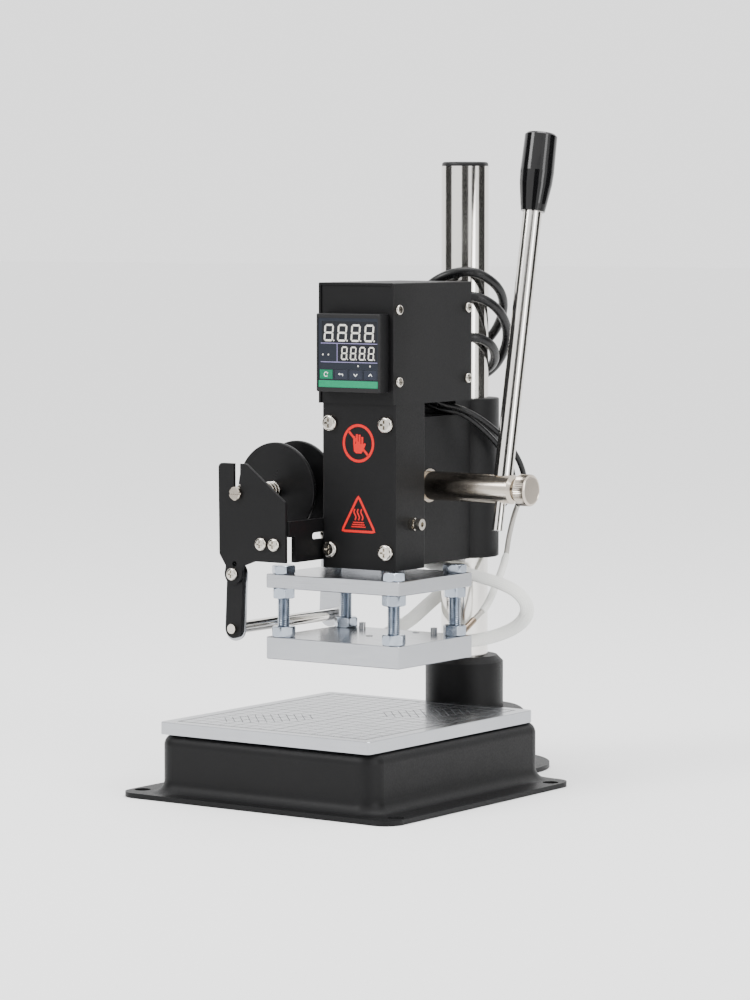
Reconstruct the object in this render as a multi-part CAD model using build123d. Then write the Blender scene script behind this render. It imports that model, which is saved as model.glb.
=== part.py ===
"""Bench-top hot foil stamper: base, column, height-adjustable head, rack-driven heated ram,
hand lever, panel temperature controller, foil holder and its cables.  Millimetres.

Frame: origin at the centre of the base's bolt pattern, on its underside.  +Z up, the front
faces -Y, and +X is the lever's side.
"""
import math
import os

from build123d import *

os.makedirs("parts", exist_ok=True)

# ---------------------------------------------------------------- driving dimensions
# Base
FLANGE_X, FLANGE_Y, FLANGE_T, FLANGE_R = 204.0, 199.0, 3.0, 12.0
BOLT_X, BOLT_Y, BOLT_HOLE_R = 189.0, 168.0, 5.0
BODY_X, BODY_FRONT, BODY_REAR, BODY_R = 161.0, -88.0, 97.0, 12.0
BASE_H, BASE_WALL, BASE_TOP_ROUND, BASE_FOOT_ROUND = 39.0, 4.0, 7.0, 8.0
TONGUE_R, TONGUE_BLEND, TONGUE_FLANGE_R, TONGUE_FLANGE_BLEND = 40.0, 14.0, 55.0, 34.0
SOCKET_R, SOCKET_DEPTH = 22.0, 24.0

# Column, its collar and cap
COL_Y, COL_R, COL_WALL, COL_TOP = 128.8, 15.0, 3.0, 385.0
COLLAR_R, COLLAR_TOP, COLLAR_CHAMFER = 25.0, 72.4, 4.0
CAP_H, CAP_SPIGOT = 2.7, 12.0

# Work plate
PLATE_X, PLATE_Y, PLATE_T, PLATE_MID_Y, PLATE_R = 156.4, 177.0, 7.5, 0.6, 3.0

# Head: carriage on the column, guide housing for the ram, front cover
HEAD_BOTTOM, HEAD_TOP = 136.2, 237.6
SLEEVE_R, ARM_HALF = 22.0, 15.0
HOUSING_HALF, HOUSING_FRONT, HOUSING_REAR = 27.4, 11.4, 43.9
COVER_T, BOX_Z0 = 3.0, 238.3
NOTCH_Z, NOTCH_REAR = 228.4, 96.0

# Ram, rack and pinion
RAM_HALF, RAM_DEPTH, RAM_TOP = 15.2, 26.0, 226.0
STROKE = 25.0
MODULE, TEETH, GEAR_HALF = 1.5, 16, 8.0
SHAFT_Y, SHAFT_Z, SHAFT_R, SHAFT_STEP_R, SHAFT_END = 66.0, 185.5, 9.0, 6.5, 80.0
BUSH_R, BUSH_PROUD = SHAFT_R + 1.5, 0.8

# Lever
LEVER_X, LEVER_LEAN, LEVER_R, SPIGOT_R = 69.75, 11.3, 5.9, 3.3
LEVER_SEAT, SPIGOT_END, GRIP_START, GRIP_END, GRIP_R = 7.5, 25.9, 174.0, 223.1, 10.6
KNOB_R, KNOB_X0, KNOB_X1, KNOB_STUD_R = 9.8, 83.0, 91.8, 3.0

# Heating head: upper plate, bolts, heated plate
HOT_X, HOT_Y, HOT_MID_Y = 100.0, 80.0, 23.0
UPPER_Z0, UPPER_Z1, LOWER_Z0, LOWER_Z1 = 124.4, 133.0, 80.2, 93.9
HOT_BOLT_X, HOT_BOLT_Y = 83.0, 66.0
M8_R, M8_AF, M8_HEAD, M8_NUT = 4.0, 13.0, 5.3, 6.5
HEATER_R, HEATER_X, HEATER_Z = 5.0, 27.3, 86.6

# Control box and controller
BOX_HALF, BOX_FRONT, BOX_REAR, BOX_TOP, SHEET = 28.1, 8.6, 94.1, 312.6, 1.5
BEZEL, BEZEL_FRONT, BEZEL_Z = 48.0, 0.2, 269.8
FACE_X, FACE_Z, FACE_T = 44.8, 42.8, 0.8
CASE, CASE_REAR = 44.6, 62.0
KEY_W, KEY_H, KEY_T, KEY_PITCH, KEY_Z = 9.8, 5.8, 2.1, 11.1, 256.5

# Foil holder
FOIL_T, FOIL_FRONT, FOIL_REAR = 2.0, -25.0, 84.0
AXLE_X, AXLE_Z, AXLE_R, AXLE_NECK_R, AXLE_HEAD = -66.2, 182.5, 4.2, 2.35, 3.0
DISC_R, DISC_T, DISC_Y, DISC_GAP = 29.6, 2.5, 15.0, 20.0
ARM_PIVOT = (-69.5, 132.3)
ARM_END = (-71.0, 98.0)
ARM_W, BACKING_W, BACKING_T, ROLLER_R = 12.0, 15.5, 1.2, 3.9
WEB_T, WEB_Z0, WEB_Z1, WEB_FRONT = 3.0, 141.0, 166.5, -17.0

# Cables
MAINS_R, LEAD_R, BRAID_R, SLEEVE_LEAD_R = 3.0, 1.85, 1.7, 2.4
COIL_MEAN_R, COIL_BAND_R, COIL_H = 34.0, 7.0, 12.5
DRESS_TURN = 35.2   # the leads are dressed away from the operator's side, this far round from +Y

# Named clearances
RUN = 0.05          # running fit, on the radius
SLIDE = 0.10        # sliding fit, each side
GAP = 0.3           # between moving bodies

Z = Axis.Z


# ---------------------------------------------------------------- small helpers
def block(x0, x1, y0, y1, z0, z1):
    """A box between two corners."""
    return Pos((x0 + x1) / 2, (y0 + y1) / 2, (z0 + z1) / 2) * Box(x1 - x0, y1 - y0, z1 - z0)


def rod(start, direction, radius, length):
    """A cylinder that starts at a point and runs along a direction."""
    plane = Plane(origin=start, z_dir=direction)
    return plane * Pos(0, 0, length / 2) * Cylinder(radius, length)


def hexagon(start, direction, across_flats, height, turn=0.0):
    """A hexagonal prism that starts at a point and runs along a direction."""
    plane = Plane(origin=start, z_dir=direction)
    outline = RegularPolygon(across_flats / 2, 6, major_radius=False, rotation=turn)
    return extrude(plane * outline, height)


def pan_screw(seat, inward, head_r, head_h, shank_r, length):
    """A pan-head cross-recess screw: seat is under the head, inward points along the shank."""
    outward = tuple(-c for c in inward)
    head = rod(seat, outward, head_r, head_h)
    far = head.edges().filter_by(GeomType.CIRCLE).sort_by(lambda e: (e.center() - Vector(*seat)).length)[-1]
    head = fillet(far, head_h * 0.6)
    tip = tuple(s + o * head_h for s, o in zip(seat, outward))
    face = Plane(origin=tip, z_dir=outward)
    cross = Rectangle(head_r * 1.1, head_r * 0.26) + Rectangle(head_r * 0.26, head_r * 1.1)
    head -= extrude(face * cross, -head_h * 0.5)
    return head + rod(seat, inward, shank_r, length)


def socket_screw(seat, inward, head_r, head_h, shank_r, length):
    """A socket-head cap screw with its hexagonal recess."""
    outward = tuple(-c for c in inward)
    head = rod(seat, outward, head_r, head_h)
    tip = tuple(s + o * head_h for s, o in zip(seat, outward))
    head -= extrude(Plane(origin=tip, z_dir=outward) * RegularPolygon(head_r * 0.5, 6), -head_h * 0.55)
    return head + rod(seat, inward, shank_r, length)


def save(node, *shapes):
    """Write one node's STEP file: one solid, or several separate ones."""
    solids = []
    for shape in shapes:
        solids.extend(shape.solids())
    shape = solids[0] if len(solids) == 1 else Compound(solids)
    export_step(shape, f"parts/{node}.step")


def cable(node, points, radius):
    """A round cable along straight runs joined by the largest tangent arcs that they allow."""
    points = [Vector(*p) for p in points]
    runs = [(b - a).length for a, b in zip(points, points[1:])]
    radii = []
    for i in range(1, len(points) - 1):
        turn = (points[i] - points[i - 1]).get_angle(points[i + 1] - points[i])
        shorter = min(runs[i - 1], runs[i])
        radii.append(0.45 * shorter / math.tan(math.radians(turn / 2)))
    path = FilletPolyline(*points, radius=radii)
    section = Plane(origin=path @ 0, z_dir=path % 0) * Circle(radius)
    tube = sweep(section, path=path)
    expected = math.pi * radius**2 * path.length
    print(f"{node}: length {path.length:.1f}, volume/expected {tube.volume / expected:.4f},"
          f" tightest arc {min(radii):.1f}, longest run {max(runs):.1f}")
    return tube


def around_column(across, behind, z):
    """A point given across and behind the column, in the direction the leads are dressed."""
    turn = math.radians(DRESS_TURN)
    return (across * math.cos(turn) - behind * math.sin(turn),
            COL_Y + across * math.sin(turn) + behind * math.cos(turn), z)


# ---------------------------------------------------------------- base and column
def base_outline(half_x, front, rear, corner_r, tongue_r, blend_r):
    """A rounded rectangle with a round tongue about the column, joined by concave arcs."""
    outline = Pos(0, (front + rear) / 2) * Rectangle(2 * half_x, rear - front)
    outline = fillet(outline.vertices(), corner_r) + Pos(0, COL_Y) * Circle(tongue_r)
    blend_y = rear + blend_r
    blend_x = math.sqrt((tongue_r + blend_r) ** 2 - (blend_y - COL_Y) ** 2)
    touch = tongue_r / (tongue_r + blend_r)
    for side in (-1, 1):
        web = make_face(Polyline((0, rear - 1), (side * blend_x, rear - 1), (side * blend_x, rear),
                                 (side * blend_x * touch, COL_Y + (blend_y - COL_Y) * touch),
(0, COL_Y), close=True))
        outline += web - Pos(side * blend_x, blend_y) * Circle(blend_r)
    return outline


def base_casting():
    """Pressed shell: bolt flange, raised body hollow underneath, and the column's socket."""
    raised = base_outline(BODY_X / 2, BODY_FRONT, BODY_REAR, BODY_R, TONGUE_R, TONGUE_BLEND)
    flange = base_outline(FLANGE_X / 2, -FLANGE_Y / 2, FLANGE_Y / 2, FLANGE_R, TONGUE_FLANGE_R,
                          TONGUE_FLANGE_BLEND)
    cavity = base_outline(BODY_X / 2 - BASE_WALL, BODY_FRONT + BASE_WALL, BODY_REAR - BASE_WALL,
                          BODY_R - BASE_WALL, TONGUE_R - BASE_WALL, TONGUE_BLEND + BASE_WALL)
    shell = extrude(raised, BASE_H)
    shell = fillet(shell.edges().group_by(Z)[-1], BASE_TOP_ROUND)
    shell += extrude(flange, FLANGE_T)
    foot_line = (Pos(0, 0, FLANGE_T) * raised).edges()
    foot = [e for e in shell.edges() if min((e @ 0.5 - f @ 0.5).length for f in foot_line) < 0.1]
    shell = fillet(foot, BASE_FOOT_ROUND)
    shell -= extrude(cavity, BASE_H - BASE_WALL)
    shell += Pos(0, COL_Y, BASE_H / 2) * Cylinder(SOCKET_R, BASE_H - BASE_WALL)
    shell -= Pos(0, COL_Y, BASE_H - SOCKET_DEPTH / 2) * Cylinder(COL_R, SOCKET_DEPTH)
    for x in (-BOLT_X / 2, BOLT_X / 2):
        for y in (-BOLT_Y / 2, BOLT_Y / 2):
            shell -= Pos(x, y, FLANGE_T / 2) * Cylinder(BOLT_HOLE_R, FLANGE_T * 2)
    for x, y in work_screw_places():
        shell -= Pos(x, y, BASE_H) * Cylinder(2.5, BASE_WALL * 3)
    return shell


def work_screw_places():
    """The four screws that hold the work plate, from inside the base."""
    across, along = BODY_X / 2 - 20.5, -BODY_FRONT - 22
    return [(x, PLATE_MID_Y + y) for x in (-across, across) for y in (-along, along)]


def column_pieces():
    bottom = BASE_H - SOCKET_DEPTH
    tube = Pos(0, COL_Y, (bottom + COL_TOP) / 2) * Cylinder(COL_R, COL_TOP - bottom)
    tube -= Pos(0, COL_Y, (bottom + COL_TOP) / 2) * Cylinder(COL_R - COL_WALL, COL_TOP - bottom)
    collar = Pos(0, COL_Y, (BASE_H + COLLAR_TOP) / 2) * Cylinder(COLLAR_R, COLLAR_TOP - BASE_H)
    collar = chamfer(collar.edges().group_by(Z)[-1], COLLAR_CHAMFER)
    collar -= Pos(0, COL_Y, (BASE_H + COLLAR_TOP) / 2) * Cylinder(COL_R, COLLAR_TOP - BASE_H)
    screws = []
    for turn in (60, 120):
        outward = (math.cos(math.radians(turn)), math.sin(math.radians(turn)), 0)
        seat = (COL_R * outward[0], COL_Y + COL_R * outward[1], (BASE_H + COLLAR_TOP) / 2 - 3)
        collar -= rod(seat, outward, 3.0, COLLAR_R)
        screw = rod(seat, outward, 3.0, COLLAR_R - COL_R - 1.5)
        tip = tuple(s + o * (COLLAR_R - COL_R - 1.5) for s, o in zip(seat, outward))
        screws.append(screw - extrude(Plane(origin=tip, z_dir=outward) * RegularPolygon(1.7, 6), -3))
    cap = Pos(0, COL_Y, COL_TOP + CAP_H / 2) * Cylinder(COL_R - 0.2, CAP_H)
    cap = fillet(cap.edges().group_by(Z)[-1], CAP_H * 0.6)
    cap += Pos(0, COL_Y, COL_TOP - CAP_SPIGOT / 2) * Cylinder(COL_R - COL_WALL, CAP_SPIGOT)
    save("column_tube", tube)
    save("column_collar", collar)
    save("collar_screws", *screws)
    save("column_cap", cap)


def work_plate_pieces():
    top = BASE_H + PLATE_T
    plate = Pos(0, PLATE_MID_Y, (BASE_H + top) / 2) * Box(PLATE_X, PLATE_Y, PLATE_T)
    plate = fillet(plate.edges().filter_by(Z), PLATE_R)
    plate = chamfer(plate.edges().group_by(Z)[-1], 0.4)
    screws = []
    for x, y in work_screw_places():
        plate -= Pos(x, y, BASE_H + 2.5) * Cylinder(2.5, 5)
        screws.append(pan_screw((x, y, BASE_H - BASE_WALL), (0, 0, 1), 4.75, 3.2, 2.5, BASE_WALL + 4.5))
    save("work_plate", plate)
    save("work_plate_screws", *screws)


# ---------------------------------------------------------------- head
def rack_slot_half():
    return GEAR_HALF + 0.6


def carriage():
    """Sleeve round the column with an arm that carries the guide housing and the pinion."""
    sleeve = Pos(0, COL_Y, (HEAD_BOTTOM + HEAD_TOP) / 2) * Cylinder(SLEEVE_R, HEAD_TOP - HEAD_BOTTOM)
    sleeve = chamfer(sleeve.edges().group_by(Z)[-1] + sleeve.edges().group_by(Z)[0], 0.6)
    arm = block(-ARM_HALF, ARM_HALF, HOUSING_REAR, COL_Y, HEAD_BOTTOM, HEAD_TOP)
    arm -= block(-ARM_HALF, ARM_HALF, HOUSING_REAR, NOTCH_REAR, NOTCH_Z, HEAD_TOP)
    tip_r = MODULE * (TEETH / 2 + 0.8)
    half = rack_slot_half()
    arm -= block(-half, half, HOUSING_REAR, SHAFT_Y - MODULE * TEETH / 2 + 4, HEAD_BOTTOM, NOTCH_Z)
    arm -= block(-half, half, HOUSING_REAR, SHAFT_Y, SHAFT_Z - tip_r - 1, SHAFT_Z + tip_r + 1)
    arm -= rod((-half, SHAFT_Y, SHAFT_Z), (1, 0, 0), tip_r + 1, 2 * half)
    arm -= rod((-ARM_HALF, SHAFT_Y, SHAFT_Z), (1, 0, 0), BUSH_R, 2 * ARM_HALF)
    body = sleeve + arm
    body -= Pos(0, COL_Y, (HEAD_BOTTOM + HEAD_TOP) / 2) * Cylinder(COL_R + RUN, HEAD_TOP - HEAD_BOTTOM)
    for z in clamp_heights():
        body -= rod((-SLEEVE_R, COL_Y, z), (1, 0, 0), 4.0, SLEEVE_R)
    return body


def clamp_heights():
    return (HEAD_BOTTOM + 26, HEAD_TOP - 26)


def clamp_screws():
    """Two socket screws that lock the head on the column."""
    length = SLEEVE_R - COL_R - RUN - 0.1
    return [socket_screw((-SLEEVE_R, COL_Y, z), (1, 0, 0), 6.5, 8.0, 4.0, length) for z in clamp_heights()]


RAM_FRONT = HOUSING_FRONT + COVER_T + SLIDE
RAM_REAR = RAM_FRONT + RAM_DEPTH
SPRING_Y = RAM_FRONT + 6.5
SPRING_R, SPRING_WIRE_R, SPRING_TURNS = 4.8, 0.7, 11
PEG_Z0, PEG_Z1, SPRING_TOP = 152.0, 158.0, 213.0
COVER_SCREWS = [(x, z) for x in (-21.0, 21.0) for z in (147.5, 226.0)]
GIB_Y, GIB_Z = 28.4, 164.4


def guide_housing():
    """Channel block in which the ram slides, closed in front by the cover."""
    front = HOUSING_FRONT + COVER_T
    body = block(-HOUSING_HALF, HOUSING_HALF, front, HOUSING_REAR, HEAD_BOTTOM, BOX_Z0)
    body = fillet(body.edges().filter_by(Z).group_by(Axis.Y)[-1], 1.0)
    channel = RAM_HALF + SLIDE
    body -= block(-channel, channel, front, RAM_REAR + SLIDE, HEAD_BOTTOM, BOX_Z0)
    half = rack_slot_half()
    body -= block(-half, half, RAM_REAR, HOUSING_REAR, HEAD_BOTTOM, NOTCH_Z)
    for x, z in COVER_SCREWS:
        body -= rod((x, front, z), (0, 1, 0), 2.5, 12)
    body -= rod((channel, GIB_Y, GIB_Z), (1, 0, 0), 2.0, HOUSING_HALF)
    for y, z in web_screw_places():
        body -= rod((-HOUSING_HALF, y, z), (1, 0, 0), 2.0, 9)
    for x, y in box_mount_places():
        body -= rod((x, y, BOX_Z0), (0, 0, -1), 2.0, 9)
    return body


def guide_cover():
    """Front cover with the return spring's peg on its back."""
    cover = block(-HOUSING_HALF, HOUSING_HALF, HOUSING_FRONT, HOUSING_FRONT + COVER_T, HEAD_BOTTOM, BOX_Z0)
    cover = fillet(cover.edges().filter_by(Z).group_by(Axis.Y)[0], 1.2)
    for x, z in COVER_SCREWS:
        cover -= rod((x, HOUSING_FRONT, z), (0, 1, 0), 2.6, COVER_T)
    cover += block(-5.5, 5.5, HOUSING_FRONT + COVER_T, SPRING_Y + 5.5, PEG_Z0, PEG_Z1)
    return cover


def guide_cover_screws():
    return [pan_screw((x, HOUSING_FRONT, z), (0, 1, 0), 5.2, 3.0, 2.5, COVER_T + 11) for x, z in COVER_SCREWS]


def gib_screw():
    """Screw that takes up the ram's play, with its lock nut."""
    start = RAM_HALF + SLIDE + 0.1
    nut = hexagon((HOUSING_HALF, GIB_Y, GIB_Z), (1, 0, 0), 7.0, 3.2)
    nut -= rod((HOUSING_HALF, GIB_Y, GIB_Z), (1, 0, 0), 2.0, 3.2)
    seat = HOUSING_HALF + 4.6
    screw = socket_screw((seat, GIB_Y, GIB_Z), (-1, 0, 0), 3.5, 4.0, 2.0, seat - start)
    return [nut, screw]


def bushes():
    """Two flanged bronze bushes: the shaft's outer end is thicker than its inner end."""
    half = rack_slot_half()
    pieces = []
    for side, bore in ((1, SHAFT_R), (-1, SHAFT_STEP_R)):
        bush = rod((side * half, SHAFT_Y, SHAFT_Z), (side, 0, 0), BUSH_R, ARM_HALF - half + BUSH_PROUD)
        bush -= rod((side * half, SHAFT_Y, SHAFT_Z), (side, 0, 0), bore + RUN, ARM_HALF)
        pieces.append(bush)
    return pieces


# ---------------------------------------------------------------- ram, rack, pinion
def spring(start, direction, mean_r, wire_r, length, turns):
    """A helical compression spring between two seats."""
    height = length - 2 * wire_r - 0.2
    path = Helix(pitch=height / turns, height=height, radius=mean_r)
    coil = sweep(Plane(origin=path @ 0, z_dir=path % 0) * Circle(wire_r), path=path)
    return Plane(origin=start, z_dir=direction) * Pos(0, 0, wire_r + 0.1) * coil


def ram():
    """Square ram with a front groove that holds the return spring."""
    body = block(-RAM_HALF, RAM_HALF, RAM_FRONT, RAM_REAR, UPPER_Z1, RAM_TOP)
    body = chamfer(body.edges().filter_by(Z), 0.5)
    body -= block(-6.6, 6.6, RAM_FRONT, SPRING_Y + 6.5, PEG_Z0 - 1, SPRING_TOP)
    for x in (-9, 9):
        body -= rod((x, (RAM_FRONT + RAM_REAR) / 2, UPPER_Z1), (0, 0, 1), 2.5, 14)
    return body


def rack_pitch():
    return math.pi * MODULE


def rack():
    """Toothed bar on the ram's back; its pitch line touches the pinion's pitch circle."""
    pitch_y = SHAFT_Y - MODULE * TEETH / 2
    tip, root = pitch_y + 0.8 * MODULE, pitch_y - 1.0 * MODULE
    z0, z1 = SHAFT_Z - 14, SHAFT_Z + 14 + STROKE
    body = block(-GEAR_HALF, GEAR_HALF, RAM_REAR, tip, z0, z1)
    slope = math.tan(math.radians(20))
    half_space = rack_pitch() / 4 + 0.05
    count = int(14 / rack_pitch()) + 1
    for k in range(-count, int((14 + STROKE) / rack_pitch()) + 2):
        z = SHAFT_Z + k * rack_pitch()
        wide = half_space + slope * (tip - pitch_y + 1)
        narrow = half_space - slope * (pitch_y - root)
        outline = Polyline((tip + 1, z - wide), (tip + 1, z + wide), (root, z + narrow), (root, z - narrow),
                           close=True)
        space = make_face(Plane.YZ * outline)
        body -= extrude(Pos(-GEAR_HALF - 1, 0, 0) * space, 2 * GEAR_HALF + 2, dir=(1, 0, 0))
    return body


def gear_outline():
    """Involute teeth, 20 degrees, with the first tooth pointing at the rack."""
    pitch_r = MODULE * TEETH / 2
    base_r, tip_r, root_r = pitch_r * math.cos(math.radians(20)), pitch_r + 0.8 * MODULE, pitch_r - MODULE
    at_pitch = math.tan(math.radians(20)) - math.radians(20)
    half_tooth = (rack_pitch() / 4 - 0.05) / pitch_r
    flank = [(root_r, half_tooth + at_pitch)]
    for k in range(6):
        radius = base_r + (tip_r - base_r) * k / 5
        pressure = math.acos(base_r / radius)
        flank.append((radius, half_tooth + at_pitch - (math.tan(pressure) - pressure)))
    points = []
    for tooth in range(TEETH):
        middle = math.pi + 2 * math.pi * tooth / TEETH
        rising = [(r, middle - a) for r, a in flank]
        falling = [(r, middle + a) for r, a in reversed(flank)]
        points += [(r * math.cos(a), r * math.sin(a)) for r, a in rising + falling]
    return make_face(Polyline(*points, close=True))


def pinion_gear():
    face = Plane(origin=(-GEAR_HALF, SHAFT_Y, SHAFT_Z), x_dir=(0, 1, 0), z_dir=(1, 0, 0)) * gear_outline()
    gear = extrude(face, 2 * GEAR_HALF)
    return gear - rod((-GEAR_HALF, SHAFT_Y, SHAFT_Z), (1, 0, 0), SHAFT_STEP_R, 2 * GEAR_HALF)


def lever_axis():
    lean = math.radians(LEVER_LEAN)
    return (0, math.sin(lean), math.cos(lean))


def along_lever(distance):
    """A point on the lever's axis, measured from the shaft's axis."""
    axis = lever_axis()
    return (LEVER_X, SHAFT_Y + distance * axis[1], SHAFT_Z + distance * axis[2])


def pinion_shaft():
    left_end = -ARM_HALF - BUSH_PROUD - 4
    shaft = rod((GEAR_HALF, SHAFT_Y, SHAFT_Z), (1, 0, 0), SHAFT_R, SHAFT_END - GEAR_HALF)
    shaft = chamfer(shaft.edges().filter_by(GeomType.CIRCLE).group_by(Axis.X)[-1], 2.0)
    shaft += rod((left_end, SHAFT_Y, SHAFT_Z), (1, 0, 0), SHAFT_STEP_R, GEAR_HALF - left_end)
    groove_x = -ARM_HALF - BUSH_PROUD - GAP - 1.2
    ring = rod((groove_x, SHAFT_Y, SHAFT_Z), (1, 0, 0), SHAFT_STEP_R + 1, 1.2)
    shaft -= ring - rod((groove_x, SHAFT_Y, SHAFT_Z), (1, 0, 0), SHAFT_STEP_R - 1, 1.2)
    shaft -= rod(along_lever(-SHAFT_R - 2), lever_axis(), SPIGOT_R, 2 * SHAFT_R + 4)
    shaft -= rod(along_lever(LEVER_SEAT), lever_axis(), LEVER_R + 0.1, SHAFT_R)
    shaft -= rod((LEVER_X, SHAFT_Y, SHAFT_Z), (1, 0, 0), KNOB_STUD_R, SHAFT_END - LEVER_X)
    return shaft


def circlip():
    """Retaining ring on the shaft's inner end."""
    groove_x = -ARM_HALF - BUSH_PROUD - GAP - 1.2
    start = (groove_x, SHAFT_Y, SHAFT_Z)
    ring = rod(start, (1, 0, 0), SHAFT_STEP_R + 3.5, 1.2) - rod(start, (1, 0, 0), SHAFT_STEP_R - 1, 1.2)
    return ring - block(groove_x - 1, groove_x + 2, SHAFT_Y - 2, SHAFT_Y + 2, SHAFT_Z, SHAFT_Z + 20)


def lever_pieces():
    spigot = rod(along_lever(-SPIGOT_END), lever_axis(), SPIGOT_R, SPIGOT_END + LEVER_SEAT)
    inside = GRIP_END - GRIP_START - 14
    bar = rod(along_lever(LEVER_SEAT), lever_axis(), LEVER_R, GRIP_START + inside - LEVER_SEAT) + spigot
    profile = Polyline((0, 0), (GRIP_R - 3.1, 0), (GRIP_R - 2.3, 4.5), (GRIP_R - 0.4, 17.5), (GRIP_R, 25),
                       (GRIP_R - 0.4, GRIP_END - GRIP_START - 1.2), (GRIP_R - 1.6, GRIP_END - GRIP_START),
                       (0, GRIP_END - GRIP_START), close=True)
    grip = revolve(make_face(Plane.XZ * profile), Axis.Z)
    grip = Plane(origin=along_lever(GRIP_START), z_dir=lever_axis()) * grip
    grip -= rod(along_lever(GRIP_START), lever_axis(), LEVER_R, inside)
    save("lever_rod", bar)
    save("lever_grip", grip)


def lever_knob():
    """Knurled thumb screw in the shaft's end that clamps the lever."""
    knob = rod((KNOB_X0, SHAFT_Y, SHAFT_Z), (1, 0, 0), KNOB_R, KNOB_X1 - KNOB_X0)
    knob = chamfer(knob.edges().filter_by(GeomType.CIRCLE), 0.8)
    knob += rod((SHAFT_END + 0.1, SHAFT_Y, SHAFT_Z), (1, 0, 0), KNOB_STUD_R + 2.5, KNOB_X0 - SHAFT_END - 0.1)
    stud = LEVER_X + SPIGOT_R + 0.3
    return knob + rod((stud, SHAFT_Y, SHAFT_Z), (1, 0, 0), KNOB_STUD_R - RUN, SHAFT_END - stud + 0.1)


# ---------------------------------------------------------------- heating head
def hot_bolts():
    return [(x * HOT_BOLT_X / 2, HOT_MID_Y + y * HOT_BOLT_Y / 2) for x in (-1, 1) for y in (-1, 1)]


def hot_plate(z0, z1):
    plate = Pos(0, HOT_MID_Y, (z0 + z1) / 2) * Box(HOT_X, HOT_Y, z1 - z0)
    plate = fillet(plate.edges().filter_by(Z), 1.0)
    return chamfer(plate.edges().group_by(Z)[-1] + plate.edges().group_by(Z)[0], 0.4)


# x, y, height above the plate, depth below its top
HEATER_COVER = LOWER_Z1 - HEATER_Z - HEATER_R
SET_SCREWS = [(-HEATER_X, 54.0, 4.0, HEATER_COVER), (HEATER_X, 54.0, 4.0, HEATER_COVER),
              (13.0, 55.0, 0.4, 9.0), (0.0, HOT_MID_Y, 0.4, 9.0)]
SET_SCREW_R = 2.1
PROBE_X, PROBE_Z, PROBE_RISE, PROBE_IN, PROBE_OUT, PROBE_R = 37.3, 90.6, 26.0, 3.0, 23.0, 1.9


def probe_point(distance):
    """A point on the temperature probe's axis, measured from the heated plate's rear face."""
    rise = math.radians(PROBE_RISE)
    return (PROBE_X, HOT_MID_Y + HOT_Y / 2 + distance * math.cos(rise), PROBE_Z + distance * math.sin(rise))


def heating_head():
    upper = hot_plate(UPPER_Z0, UPPER_Z1)
    lower = hot_plate(LOWER_Z0, LOWER_Z1)
    rear = HOT_MID_Y + HOT_Y / 2
    bolts, nuts = [], []
    for x, y in hot_bolts():
        upper -= rod((x, y, UPPER_Z0), (0, 0, 1), M8_R + 0.2, UPPER_Z1 - UPPER_Z0)
        lower -= rod((x, y, LOWER_Z1 - 10), (0, 0, 1), M8_R, 10)
        bolt = hexagon((x, y, UPPER_Z1), (0, 0, 1), M8_AF, M8_HEAD, turn=20)
        bolts.append(bolt + rod((x, y, LOWER_Z1 - 10), (0, 0, 1), M8_R, UPPER_Z1 - LOWER_Z1 + 10))
        for z in (UPPER_Z0 - M8_NUT, LOWER_Z1):
            nuts.append(hexagon((x, y, z), (0, 0, 1), M8_AF, M8_NUT, turn=x + y)
                        - rod((x, y, z), (0, 0, 1), M8_R, M8_NUT))
    ram_screws = []
    for x in (-9, 9):
        y = (RAM_FRONT + RAM_REAR) / 2
        upper -= rod((x, y, UPPER_Z0), (0, 0, 1), 2.7, UPPER_Z1 - UPPER_Z0)
        upper -= rod((x, y, UPPER_Z0), (0, 0, 1), 4.8, 5.2)
        ram_screws.append(socket_screw((x, y, UPPER_Z0 + 5.2), (0, 0, 1), 4.5, 5.0, 2.5, 15))
    heaters = []
    for x in (-HEATER_X, HEATER_X):
        lower -= rod((x, rear, HEATER_Z), (0, -1, 0), HEATER_R, HOT_Y - 10)
        heaters.append(rod((x, rear + 2, HEATER_Z), (0, -1, 0), HEATER_R, HOT_Y - 8.5))
    set_screws = []
    for x, y, proud, depth in SET_SCREWS:
        lower -= rod((x, y, LOWER_Z1 - depth), (0, 0, 1), SET_SCREW_R, depth)
        screw = rod((x, y, LOWER_Z1 - depth), (0, 0, 1), SET_SCREW_R, depth + proud)
        top = Plane(origin=(x, y, LOWER_Z1 + proud), z_dir=(0, 0, 1))
        set_screws.append(screw - extrude(top * RegularPolygon(1.1, 6), -2))
    axis = tuple(b - a for a, b in zip(probe_point(0), probe_point(1)))
    lower -= rod(probe_point(-PROBE_IN), axis, PROBE_R, 2 * PROBE_IN)
    probe = rod(probe_point(-PROBE_IN), axis, PROBE_R, 2 * PROBE_IN)
    probe += hexagon(probe_point(2.6), axis, 7, 4)
    probe += rod(probe_point(6), axis, 2.1, PROBE_OUT - 6)
    save("upper_plate", upper)
    save("heated_plate", lower)
    save("plate_bolts", *bolts)
    save("plate_nuts", *nuts)
    save("ram_screws", *ram_screws)
    save("cartridge_heaters", *heaters)
    save("plate_set_screws", *set_screws)
    save("sensor_probe", probe)


# ---------------------------------------------------------------- control box
BOX_SCREWS = [(y, z) for y in (14.0, 89.5) for z in (252.2, 296.3)]
SWITCH_Y, SWITCH_Z, SWITCH_L, SWITCH_W = 73.0, 276.0, 19.0, 12.8
GLAND_X, GLAND_Z, GLAND_R = -14.5, 252.0, 7.0
LEAD_HOLE = (-13.0, 13.5, 70.0, 88.0)


def box_mount_places():
    return [(x, y) for x in (-21, 21) for y in (20, 37)]


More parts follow.
